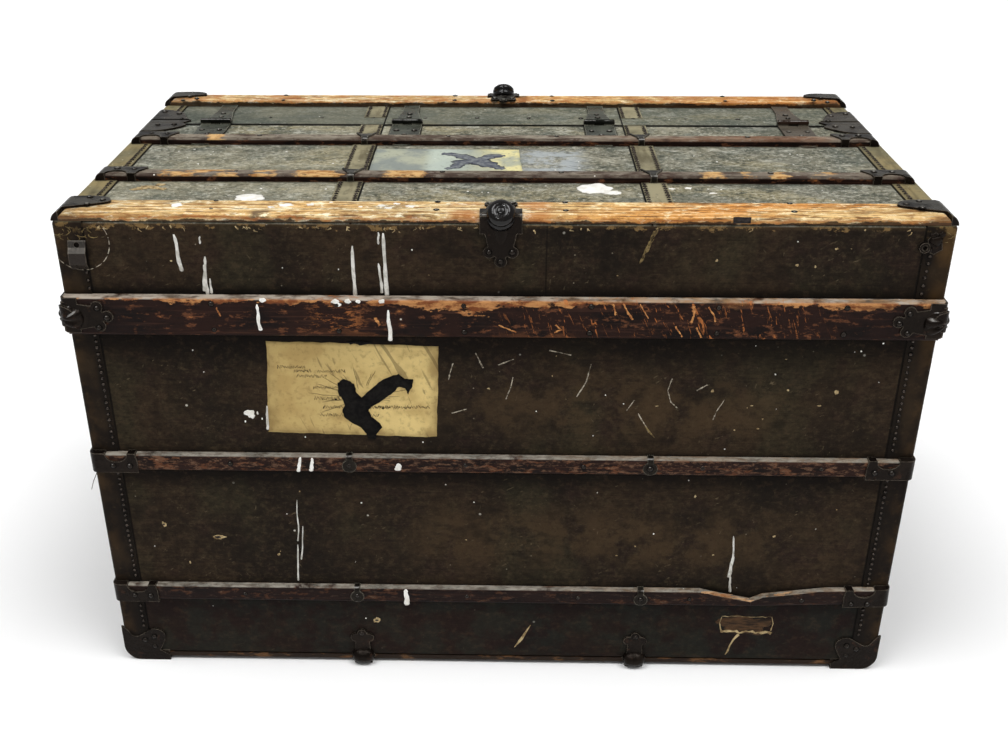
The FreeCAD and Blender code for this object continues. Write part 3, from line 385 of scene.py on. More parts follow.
    # painted shade on the back's canvas beside each slat of the back and beside the edge slats
    for slat_y in SLAT_YS + (-0.22, 0.233):
        away = make.away(y, slat_y)
        width = 0 if abs(slat_y) > 0.2 else 0.0115
        painted_shade = make.step(make.plus(away, make.times(fine, 0.006)), width + 0.012, width + 0.002)
        pale = make.tint(pale, painted_shade, 0.42, (44, 40, 34))
    on_back = make.step(z, BACK - 0.0035, BACK - 0.0008)
    dark = make.tint(dark, beside_edge, 0.8, (16, 14, 12))
    colour = make.mix(on_back, dark, pale)
    # painted shade where other pieces stand close to the canvas
    colour = make.painted_shade(colour, 0.01, 0.75, (18, 16, 14))
    weave = make.plus(make.noise((1500, 420, 420), 1), make.noise((420, 1500, 1500), 1))
    height = make.plus(make.times(weave, 0.25), make.times(middle, 0.9))
    roughness = make.plus(0.52, make.times(fine, 0.3))
    make.surface(colour, roughness, make.bump(height, 0.0007, 0.8), gloss=0.05)
    return material


def edge_fibre(colours):
    """Fibre over the edges: tan-olive and rubbed on the back, near black on the sides."""
    material, make = new_material("Edge fibre")
    x, _, z = make.place()
    broad = make.noise(16, 4)
    fine = make.noise(120, 4, 0.7)
    dark = make.mix((broad, 0.44, 0.7), (25, 20, 16), colours.fibre)
    size = make.size(x)
    rubbed = make.both((size, 0.486, 0.503), (make.noise(22, 4, 0.65), 0.44, 0.62))
    frayed = make.both((z, 0.606, 0.632), (make.noise(60, 5, 0.7), 0.52, 0.6))
    corner = make.both((x, 0.483, 0.497), (z, 0.42, 0.56), (broad, 0.66, 0.36))
    along = make.noise((60, 12, 12), 4, 0.6)
    pale = make.mix((broad, 0.38, 0.62), (152, 144, 116), (118, 112, 90))
    olive = make.mix((broad, 0.38, 0.62), (142, 128, 92), (116, 110, 86))
    pale = make.mix((size, 0.4, 0.45), pale, olive)
    dark = make.layers(dark, [
        (fine, 0.54, 0.74, 0.4, (70, 56, 38)),
        (rubbed, 0.35, (78, 58, 36)),
        (frayed, 0.7, (124, 100, 62)),
        (corner, 0.42, (92, 68, 38)),
        (size, 0.488, 0.481, 0.55, (20, 16, 13))])
    rows = make.either((make.away(size, 0.4785), 0.007, 0.004),
                       *((make.away(size, row), 0.004, 0.0026) for row in BAND_ROWS_X))
    pale = make.layers(pale, [
        (along, 0.5, 0.66, 0.6, (84, 76, 56)),
        (fine, 0.54, 0.68, 0.4, (54, 50, 40)),
        (rows, 0.36, (72, 68, 55))])
    pale = make.mix(make.specks(130, 0.16, 0.16), pale, (196, 190, 168))
    colour = make.mix((z, BACK - 0.002, BACK + 0.0004), dark, pale)
    # painted shade where other pieces stand close to the fibre
    colour = make.painted_shade(colour, 0.006, 0.7, (18, 15, 12))
    height = make.plus(make.times(fine, 0.5), broad)
    make.surface(colour, 0.55, make.bump(height, 0.0006, 0.7), gloss=0.05)
    return material


def bare_edge_wood(colours):
    """Edge slats with the varnish rubbed off: honey wood with long grain, dirt and darker ends."""
    material, make = new_material("Bare edge wood")
    x, y, z = make.place()
    grain = make.noise((5, 210, 210), 5, 0.62, 0.4)
    broad = make.noise((3.5, 14, 14), 4)
    flecks = make.noise((26, 260, 260), 3, 0.6)
    blotch = make.noise((12, 34, 34), 5, 0.65)
    crack = make.noise((11, 420, 420), 4, 0.7, 0.6)
    colour = make.mix((broad, 0.36, 0.64), colours.bare_wood, (226, 196, 140))
    orange = make.both((x, -0.05, 0.35), (broad, 0.62, 0.44))
    rough = make.noise((60, 130, 130), 6, 0.75)
    splits = make.noise((24, 520, 520), 5, 0.8)
    honey = make.times(make.step(x, -0.05, 0.15), 0.6)
    colour = make.layers(colour, [
        (orange, 0.9, (222, 154, 78)),
        (grain, 0.48, 0.62, 0.75, (150, 102, 54)),
        (grain, 0.46, 0.36, 0.7, (255, 244, 206)),
        (blotch, 0.54, 0.64, 0.6, (132, 112, 82)),
        (blotch, 0.63, 0.69, 0.85, (64, 44, 30)),
        (flecks, 0.57, 0.65, 0.8, (84, 52, 28)),
        (crack, 0.58, 0.64, 0.85, (56, 34, 20)),
        (rough, 0.52, 0.62, 0.7, (134, 90, 46)),
        (rough, 0.47, 0.37, 0.85, (255, 248, 218)),
        (splits, 0.57, 0.62, 0.8, (70, 42, 22))])
    colour = make.mix(honey, colour, (1, 0.84, 0.6, 1), "MULTIPLY")
    sooty = make.both((x, -0.282, -0.262, 0.006), (rough, 0.4, 0.5), (y, -0.25, -0.262))
    beside_knob = make.both((make.size(x), 0.024, 0.056, 0.01), (blotch, 0.36, 0.5), (y, 0, -0.1))
    charred = make.both((x, 0.022, 0.036, 0.004), (y, -0.232, -0.222), (rough, 0.4, 0.5))
    far_slat = make.step(y, 0, 0.1)
    chips = make.noise((30, 60, 60), 5, 0.7)
    edge = make.sway(z, chips, -0.018)
    edge = make.minus(edge, make.times(far_slat, 0.0036))
    lip = make.both((edge, 0.6364, 0.6374), (edge, 0.6399, 0.6384))
    dirty = make.both((make.size(x), 0.42, 0.5), (blotch, 0.34, 0.54))
    under = make.step(z, MIDDLE + 0.01, MIDDLE - 0.01)
    flaked = make.both(under, (make.plus(chips, make.times(z, 6)), 0.6, 0.7))
    height = make.plus(make.times(grain, 0.8), make.times(blotch, 0.8))
    height = make.plus(height, make.times(rough, 0.6))
    colour = make.layers(colour, [
        (sooty, 0.75, (70, 62, 56)),
        (beside_knob, 0.55, (182, 108, 50)),
        (charred, 0.75, (46, 32, 24)),
        (far_slat, 0.12, (150, 112, 66)),
        (edge, 0.6374, 0.6354, 0.92, (40, 24, 16)),
        (lip, 0.6, (172, 104, 52)),
        (dirty, 0.75, (84, 60, 40)),
        (under, 0.9, (34, 24, 18)),
        (flaked, 0.6, (122, 86, 54))])
    make.surface(colour, 0.62, make.bump(height, 0.0012, 0.9), gloss=0.12)
    return material


def stained_slat_wood(colours):
    """Plain slats: dark red-brown varnish, rubbed to bare wood along the edges, dusty where they face up."""
    material, make = new_material("Stained slat wood")
    x, y, z = make.place()
    nz = make.facing()[2]
    grain = make.noise((9, 240, 240), 4, 0.6, 0.3)
    blotch = make.noise((22, 44, 44), 6, 0.68)
    broad = make.noise((4, 9, 9), 4)
    chips = make.noise((46, 110, 110), 5, 0.7)
    colour = make.mix((blotch, 0.42, 0.64), colours.stained_wood, (20, 13, 11))
    rough = make.noise((70, 190, 190), 6, 0.75)
    middle_slat = make.spot(z, SLAT_ZS[0] - 0.012, SLAT_ZS[0] + 0.012, 0.002)
    slim_face = make.step(z, 0.48, 0.46)
    on_back = make.step(z, BACK - 0.001, BACK + 0.001)
    upward = make.step(nz, 0.45, 0.75)
    camera_side = make.step(y, BOTTOM + 0.004, BOTTOM - 0.001)
    # rubbed is the tone of the tops of the slats on the back
    rubbed = make.mix((blotch, 0.44, 0.6), (146, 136, 120), (84, 68, 57))
    colour = make.layers(colour, [
        (grain, 0.52, 0.68, 0.4, (78, 50, 38)),
        (chips, 0.55, 0.62, 0.72, (106, 66, 43)),
        (chips, 0.65, 0.7, 0.8, make.mix(slim_face, (170, 106, 58), (146, 122, 98))),
        (make.both(slim_face, (rough, 0.54, 0.64)), 0.65, (98, 76, 62)),
        (make.both(middle_slat, (rough, 0.5, 0.6)), 0.62, (112, 82, 62))])
    sway = make.sway(x, chips, 0.05)
    lower = make.step(y, -0.02, -0.06)
    bare_places = ((-0.423, -0.328), (-0.309, -0.279), (-0.254, -0.202), (-0.141, -0.094), (0.247, 0.268),
                   (0.296, 0.308), (0.33, 0.348), (0.38, 0.408))
    bare_lower = [make.spot(sway, low, high, 0.003) for low, high in bare_places]
    bare_upper = make.spot(sway, -0.399, -0.378, 0.003)
    worn_spots = make.either(make.both(lower, make.either(*bare_lower), (blotch, 0.4, 0.5)),
                             make.both((y, -0.06, -0.02), bare_upper))
    uneven = make.sway(y, chips, 0.008)
    near_half = make.either(*[make.spot(uneven, slat_y - 0.02, slat_y - 0.007, 0.0015) for slat_y in SLAT_YS])
    reddish = make.both((x, 0.08, 0.2), (y, -0.06, -0.02), (broad, 0.42, 0.52))
    top_of_back = make.both(on_back, (nz, 0.15, 0.5))
    rubbed = make.layers(rubbed, [
        (grain, 0.54, 0.66, 0.5, (58, 42, 34)),
        (reddish, 0.55, (136, 92, 62)),
        (lower, 0.35, (62, 46, 40)),
        (rough, 0.52, 0.62, 0.5, (48, 36, 32)),
        (rough, 0.45, 0.36, 0.5, (178, 170, 156)),
        (near_half, 0.34, (42, 29, 25)),
        (worn_spots, 0.92, make.mix((rough, 0.44, 0.6), (222, 180, 120), (168, 118, 66))),
        (chips, 0.58, 0.66, 0.7, (48, 33, 27))])
    # dust lies on the upper sides of the slats on the bottom
    dust = make.mix((blotch, 0.44, 0.62), (174, 163, 149), (84, 74, 64))
    colour = make.tint(colour, top_of_back, 0.92, rubbed)
    ledge = make.both(camera_side, upward, (make.noise(26, 5, 0.65), 0.3, 0.44))
    dust = make.layers(dust, [
        (make.both((x, 0.02, 0.16), (chips, 0.4, 0.56)), 0.6, (170, 132, 92)),
        (slim_face, 0.65, make.mix((rough, 0.42, 0.6), (140, 138, 128), (76, 70, 62)))])
    # bare wood along the upper and lower edges of the wide slat, and scrapes across it
    edge_place = make.sway(z, blotch, 0.06)
    deeper = make.times(make.spot(x, -0.1, 0, 0.03), 0.0065)
    edge_place = make.plus(edge_place, make.plus(deeper, make.times(make.step(x, -0.25, -0.42), -0.003)))
    flakes = make.both(camera_side, (x, -0.215, -0.16, 0.016), (z, 0.5, 0.51), (rough, 0.53, 0.59))
    worn_edge = make.both(camera_side, (edge_place, 0.5385, 0.5405), (z, 0.5452, 0.543), (broad, 0.3, 0.42))
    edge_tone = make.mix((chips, 0.42, 0.6), (192, 136, 84), (118, 66, 36))
    size = make.size(x)
    # darker on the wide slat's ends and on the lowest slat's face
    darker_ends_and_low_slat = make.either(make.both((size, 0.39, 0.45), (z, 0.544, 0.538), (z, 0.48, 0.5)), (z, 0.22, 0.18))
    low_edge = make.both(camera_side, (edge_place, 0.5035, 0.5015), (z, 0.494, 0.497), (broad, 0.52, 0.6),
                         (size, 0.4, 0.34))
    strokes = make.noise((190, 60, 30), 5, 0.7, 1.2, turn=(0, 0.35, 0))
    zone = make.both((x, -0.02, 0.06), (x, 0.42, 0.3), (z, 0.49, 0.5))
    scrapes = make.both(camera_side, zone, (strokes, 0.585, 0.63), (rough, 0.38, 0.5))
    specks = make.specks(70, 0.07, 0.1)
    colour = make.layers(colour, [
        (ledge, 0.92, dust),
        (flakes, 0.75, (158, 98, 54)),
        (worn_edge, 0.9, edge_tone),
        (make.both(camera_side, darker_ends_and_low_slat, (nz, 0.75, 0.45)), 0.5, (20, 13, 12)),
        (low_edge, 0.35, (128, 80, 48)),
        (scrapes, 0.85, (178, 108, 58))])
    colour = make.mix(specks, colour, (222, 216, 204))
    rubbed_edge = make.both(make.edges(1.6 * MM, 0.03, 0.2), (chips, 0.42, 0.56))
    height = make.plus(make.times(grain, 0.6), chips)
    colour = make.tint(colour, rubbed_edge, 0.5, (156, 118, 84))
    make.surface(colour, 0.5, make.bump(height, 0.001, 0.8), gloss=0.08)
    return material


def worn_iron(name, base, light, rust, rust_share, gloss=0.3, edge_tone=(122, 112, 98), dust=0.45,
              dust_tone=(88, 86, 80), crown=None, sheen=0.0, wear=1.3 * MM, glint_amount=0.5):
    """Enamelled iron with rubbed high spots and edges (wear and painted highlight), small dents, some rust,
    dust where it faces up, a painted glint and a painted sheen.
    """
    material, make = new_material(name)
    x, y, z = make.place()
    broad = make.noise(38, 4)
    fine = make.noise(260, 4, 0.7)
    dents = make.noise(120, 2)
    colour = make.tint(base, (broad, 0.48, 0.7), 0.3, light)
    patches = make.noise(60, 5, 0.7)
    edge = 0.72 - 0.3 * rust_share
    nx, ny, nz = make.facing()
    raised = make.step(z, BACK, BACK + 0.002)
    dusty = make.both((nz, 0.55, 0.95), raised, (broad, 0.36, 0.56))
    # painted shade: a black line without gloss across the raised plates at the ends, for the shadow under a
    # plate's edge
    plate_edge_shade = make.both(raised, (make.away(y, 0.148), 0.004, 0.0026), (make.size(x), 0.44, 0.446))
    rusty = make.both(raised, (x, 0.38, 0.42), (y, 0.095, 0.205, 0.004), (patches, 0.36, 0.5))
    colour = make.layers(colour, [
        (fine, 0.56, 0.72, 0.4, light),
        (patches, edge, edge + 0.1, 0.8, rust),
        (dusty, dust, dust_tone),
        (plate_edge_shade, 0.9, (5, 5, 4)),
        (rusty, 0.4, (74, 68, 59))])
    if crown is not None:
        colour = make.tint(colour, (z, BACK + 0.003, BACK + 0.004), 0.85, crown)
    # painted sheen: a painted highlight on slopes that face partly up, as on the strap's bend
    lit = make.plus(make.times(make.step(nz, 0.2, 0.42), 0.12), make.times(make.step(nz, 0.4, 0.56), 0.17))
    # edges lighter with edge_tone: wear, and painted highlight along the edges
    worn_and_lit_edges = make.both(make.edges(wear, 0.004, 0.1), (patches, 0.34, 0.54))
    colour = make.tint(colour, lit, sheen, (150, 147, 140))
    if crown is not None:
        worn_and_lit_edges = make.both(worn_and_lit_edges, (z, BACK + 0.0036, BACK + 0.0028))
    # painted glint: lighter where the surface faces half-way between the left overhead lamp and the camera
    towards = make.plus(make.times(nx, -0.19), make.plus(make.times(ny, -0.59), make.times(nz, 0.785)))
    glint = make.both((towards, 0.95, 0.985), (patches, 0.4, 0.56), (z, 0.04, 0.12))
    roughness = make.plus(0.14, make.times(broad, 0.26))
    height = make.plus(make.times(fine, 0.4), dents)
    shine = make.times(gloss, make.step(plate_edge_shade, 0.6, 0.1))
    colour = make.layers(colour, [
        (worn_and_lit_edges, 0.7, edge_tone),
        (glint, glint_amount, (184, 182, 178))])
    if crown is not None:
        shine = make.times(shine, make.step(z, BACK + 0.0044, BACK + 0.0034))
    make.surface(colour, roughness, make.bump(height, 0.0008, 0.8), gloss=shine, tint=WARM_GLOSS)
    return material


def plain_finish(name, base, other, scale, roughness=0.7, stretch=(1.0, 1.0, 1.0), metal=0.0, gloss=0.15,
                 relief=0.0005, tint=(1.0, 1.0, 1.0, 1.0)):
    """A two-tone finish for the hidden and inner pieces."""
    material, make = new_material(name)
    make.place()
    make.vector = make.stretched(*stretch)
    tone = make.noise(scale, 5, 0.62, 0.2)
    fine = make.noise(scale * 7, 3, 0.6)
    colour = make.mix((tone, 0.36, 0.66), base, other)
    height = make.plus(tone, make.times(fine, 0.5))
    colour = make.tint(colour, (fine, 0.55, 0.75), 0.4, other)
    make.surface(colour, roughness, make.bump(height, relief, 0.7), metal=metal, gloss=gloss, tint=tint)
    return material


# ---- studs by geometry nodes ------------------------------------------------------------------
def stud_tree(in_rows):
    """Geometry nodes that set domed heads on points, or along lines at a pitch, facing as each point says."""
    tree = bpy.data.node_groups.new("Nail rows" if in_rows else "Rivets", "GeometryNodeTree")
    tree.is_modifier = True
    for kind, names in (("Geometry", ("Geometry",)), ("Float", ("Pitch", "Radius", "Rise", "Wobble")),
                        ("Int", ("Seed",)), ("Material", ("Finish", "Ring finish"))):
        for name in names:
            tree.interface.new_socket(name, in_out="INPUT", socket_type="NodeSocket" + kind)
    tree.interface.new_socket("Geometry", in_out="OUTPUT", socket_type="NodeSocketGeometry")
    make = Nodes(tree)
    given = make.add("NodeGroupInput").outputs
    points = given["Geometry"]
    if in_rows:
        curve = make.get("GeometryNodeMeshToCurve", {"Mesh": points})
        spacing = {"Curve": curve, "Length": given["Pitch"]}
        points = make.get("GeometryNodeResampleCurve", spacing, mode="LENGTH")
    spread = {"Min": (-1.0, -1.0, -1.0), "Max": (1.0, 1.0, 1.0), "Seed": given["Seed"]}
    drift = make.get("FunctionNodeRandomValue", spread, data_type="FLOAT_VECTOR")
    shift = make.get("ShaderNodeVectorMath", {0: drift, "Scale": given["Wobble"]}, operation="SCALE")
    points = make.get("GeometryNodeSetPosition", {"Geometry": points, "Offset": shift})
    size = make.get("ShaderNodeCombineXYZ", {0: given["Radius"], 1: given["Radius"], 2: given["Rise"]})
    head = make.add("GeometryNodeJoinGeometry")
    # under each head a dark flat ring, painted shade round the head
    for kind, inputs, finish in (("UVSphere", {"Segments": 10, "Rings": 6, "Radius": 1.0}, "Finish"),
                                 ("Cylinder", {"Vertices": 12, "Radius": 1.26, "Depth": 0.30}, "Ring finish")):
        part = make.get("GeometryNodeMesh" + kind, inputs)
        part = make.get("GeometryNodeTransform", {"Geometry": part, "Scale": size})
        part = make.get("GeometryNodeSetMaterial", {"Geometry": part, "Material": given[finish]})
        tree.links.new(part, head.inputs[0])
    facing = make.get("GeometryNodeInputNamedAttribute", {"Name": "facing"}, data_type="FLOAT_VECTOR")
    turn = make.get("FunctionNodeAlignRotationToVector", {"Vector": facing}, axis="Z")
    scales = {2: 0.88, 3: 1.12, "Seed": given["Seed"]}
    scale = make.add("FunctionNodeRandomValue", scales, data_type="FLOAT").outputs[1]
    studs = make.get("GeometryNodeInstanceOnPoints", {"Points": points, "Instance": head.outputs[0],
                                                      "Rotation": turn, "Scale": scale})
    real = make.get("GeometryNodeRealizeInstances", {0: studs})
    make.add("NodeGroupOutput", {0: make.get("GeometryNodeSetShadeSmooth", {0: real})})
    return tree


def mesh_piece(name, mesh, material, body):
    """A finished piece from a mesh, riding on a body."""
    piece = bpy.data.objects.new(name, mesh)
    bpy.context.scene.collection.objects.link(piece)
    if material is not None:
        mesh.materials.clear()
        mesh.materials.append(material)
    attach(piece, body)
    return piece


def studs(name, body, tree, points, edges, values):
    """Run a stud tree on points (place, facing) and keep its result as a plain mesh."""
    mesh = bpy.data.meshes.new(name + "_points")
    mesh.from_pydata([place for place, facing in points], edges, [])
    facing = mesh.attributes.new("facing", "FLOAT_VECTOR", "POINT")
    facing.data.foreach_set("vector", [part for place, way in points for part in way])
    holder = bpy.data.objects.new(name + "_points", mesh)
    bpy.context.scene.collection.objects.link(holder)
    modifier = holder.modifiers.new("studs", "NODES")
    modifier.node_group = tree
    for item in tree.interface.items_tree:
        if item.in_out == "INPUT" and item.name in values:
            modifier[item.identifier] = values[item.name]
    bpy.context.view_layer.update()
    graph = bpy.context.evaluated_depsgraph_get()
    result = bpy.data.meshes.new_from_object(holder.evaluated_get(graph), depsgraph=graph)
    holder.modifiers.clear()
    bpy.data.objects.remove(holder)
    if not result.polygons:
        raise RuntimeError(name + " came out empty")
    result.name = name
    return mesh_piece(name, result, None, body)


UP = (0.0, 0.0, 1.0)
DOWN = (0.0, 0.0, -1.0)
NEAR = (0.0, -1.0, 0.0)
AWAY = (0.0, 1.0, 0.0)


def row(start, end, way):
    """One row of nails: its two ends and the way the heads face."""
    return [(start, way), (end, way)]


def underneath(places):
    """The same places on the front, which faces the floor."""
    turned = []
    for (x, y, z), way in places:
        turned.append(((x, y, 2 * MIDDLE - z), DOWN if way == UP else way))
    return turned


def on_lid(places):
    """The same places on the lid, beyond the seam."""
    turned = []
    for (x, y, z), way in places:
        turned.append(((x, -y, z), AWAY if way == NEAR else way))
    return turned


def nail_rows():
    """Rows of nails on the edge fibre and the bands, for body and lid."""
    skin = 1.0 * MM
    body = []
    lid = []
    for x in (-EDGE_ROW_X, EDGE_ROW_X):
        for low, high in ((-0.212, -0.132), (-0.098, 0.026), (0.062, 0.084)):
            body += row((x, low, BACK + skin), (x, high, BACK + skin), UP)
        for low, high in ((0.058, 0.100), (0.142, 0.300), (0.344, 0.492), (0.552, 0.572)):
            near_x = x + (0.0013 if x < 0 else 0.0) + (0.0030 if x < 0 and low > 0.5 else 0.0)
            body += row((near_x, BOTTOM - skin, low), (near_x, BOTTOM - skin, high), NEAR)
            lid += row((x, LID_TOP + skin, low), (x, LID_TOP + skin, high), AWAY)
        if x > 0:
            body += row((x + 0.0005, BOTTOM - skin, 0.580), (x + 0.0015, BOTTOM - skin, 0.598), NEAR)
        lid += row((x, 0.205, BACK + skin), (x, 0.229, BACK + skin), UP)
    for x in (-BAND_ROWS_X[1], -BAND_ROWS_X[0], *BAND_ROWS_X):
        for low, high in ((-0.214, -0.132), (-0.096, 0.024), (0.066, 0.124)):
            body += row((x, low, BACK + skin), (x, high, BACK + skin), UP)
        lid += row((x, 0.176, BACK + skin), (x, 0.228, BACK + skin), UP)
    return body + underneath([p for p in body if p[1] == UP]), lid + underneath([p for p in lid if p[1] == UP])


def mirrored_x(places):
    """The places and their mirror images left to right."""
    return places + [((-x, y, z), way) for (x, y, z), way in places]


def hardware_rivets():
    """Rivets through clamps, caps, bumpers and seam plates, for body and lid."""
    top = BACK + 11 * MM
    cast = BACK + 12 * MM
    plate = BACK + 3 * MM
    back = []
    for y in SLAT_YS:
        back += [((0.478, y + 0.005, top), UP), ((0.456, y + 0.004, top), UP)]
        back += [((0.186, y + 0.0145, BACK + 2.6 * MM), UP)]
    caps = [((0.477, -0.222, cast), UP), ((0.459, -0.232, cast), UP), ((0.473, -0.247, cast), UP)]
    seam_body = [((0.489, 0.120, plate), UP), ((0.466, 0.122, plate), UP)]
    seam_lid = [((0.473, 0.179, plate), UP), ((0.497, 0.190, plate), UP), ((0.462, 0.150, plate), UP)]
    ball = [((-0.013, -0.237, cast), UP), ((0.0, -0.229, cast), UP), ((0.013, -0.237, cast), UP)]
    lobes = [((-0.013, BOTTOM - 3 * MM, 0.600), NEAR), ((0.013, BOTTOM - 3 * MM, 0.600), NEAR),
             ((0.0, BOTTOM - 3 * MM, 0.589), NEAR)]
    side = []
    for z in SLAT_ZS:
        side += [((0.481, BOTTOM - 11 * MM, z - 0.003), NEAR), ((0.460, BOTTOM - 11 * MM, z - 0.003), NEAR)]
        side += [((0.186, BOTTOM - 10.6 * MM, z), NEAR)]
    side += [((x, BOTTOM - 14 * MM, z), NEAR) for x, z in ((0.467, 0.532), (0.457, 0.520), (0.468, 0.508))]
    side += [((x, BOTTOM - 2.6 * MM, z), NEAR) for x, z in ((0.481, 0.034), (0.467, 0.040), (0.469, 0.023))]
    side += [((0.184, BOTTOM - 3 * MM, 0.050), NEAR)]
    body_back = mirrored_x(back + seam_body)
    body = body_back + underneath(body_back) + mirrored_x(caps + side) + ball + lobes
    lid_back = mirrored_x(seam_lid)
    lid = lid_back + underneath(lid_back) + on_lid(mirrored_x(caps + side) + ball + lobes)
    return body, lid


def slat_rivets():
    """Smaller nails through the slats and the band round the lid's mouth."""
    body = []
    for y in SLAT_YS:
        body += [((x, y + 0.003, BACK + 9 * MM), UP) for x in (-0.330, -0.073, 0.073, 0.330)]
    body += underneath(body)
    body += [((x, y, BACK + 9 * MM), UP) for x in (-0.330, -0.073, 0.073, 0.330) for y in (-0.224, -0.252)]
    for x in (-0.334, -0.188, -0.042, 0.104, 0.250, 0.396):
        body += [((x, BOTTOM - 12 * MM, z), NEAR) for z in (0.538, 0.505)]
        body += [((x, BOTTOM - 9 * MM, z), NEAR) for z in SLAT_ZS]
    lid = [((x, y, BACK + 9 * MM), UP) for x in (-0.330, -0.073, 0.073, 0.330) for y in (0.238, 0.264)]
    lid += [((0.0375 + 0.075 * step, 0.169, BACK + 0.6 * MM), UP) for step in range(-6, 6)]
    lid += on_lid([place for place in body if place[1] == NEAR])
    return body, lid


def hinge_rivets():
    """Rivets of the hinge leaves."""
    body = []
    lid = []
    for x in HINGE_XS:
        leaf = BACK + 2.0 * MM
        body += [((x - 0.0125, 0.098, leaf), UP), ((x + 0.0125, 0.098, leaf), UP), ((x, 0.078, leaf), UP)]
        lid += [((x, 0.167, BACK + 2.2 * MM), UP), ((x, 0.184, BACK + 2.2 * MM), UP)]
    return body, lid


# ---- shapes on flat places --------------------------------------------------------------------
class Flat:
    """A flat place on the trunk, with its own two directions; depth is measured out of it."""

    def __init__(self, origin, across, up):
        self.origin = Vector(origin)
        self.across = Vector(across)
        self.up = Vector(up)
        self.out = self.across.cross(self.up)

    def at(self, u, v, depth=0.0):
        return self.origin + self.across * u + self.up * v + self.out * depth


def over_bottom(height):
    """The plane at that height, in millimetres, out of the bottom's canvas."""
    return Flat((0, BOTTOM - height * MM, 0), (1, 0, 0), (0, 0, 1))


def over_back(height):
    """The plane at that height, in millimetres, above the back's canvas."""
    return Flat((0, 0, BACK + height * MM), (1, 0, 0), (0, 1, 0))


BOTTOM_CANVAS = over_bottom(0)
BACK_CANVAS = over_back(0)
WIDE_SLAT = over_bottom(12)
SLIM_SLAT = over_bottom(9)
BACK_SLAT = over_back(9)
SUNK = -0.1 * MM             # how far the underside of a patch or a blob goes into its place


def finer(points, parts):
    """A line's points with each stretch cut in that many parts, without the last point."""
    return [tuple(Vector(a).lerp(Vector(b), step / parts))
            for a, b in zip(points, points[1:]) for step in range(parts)]


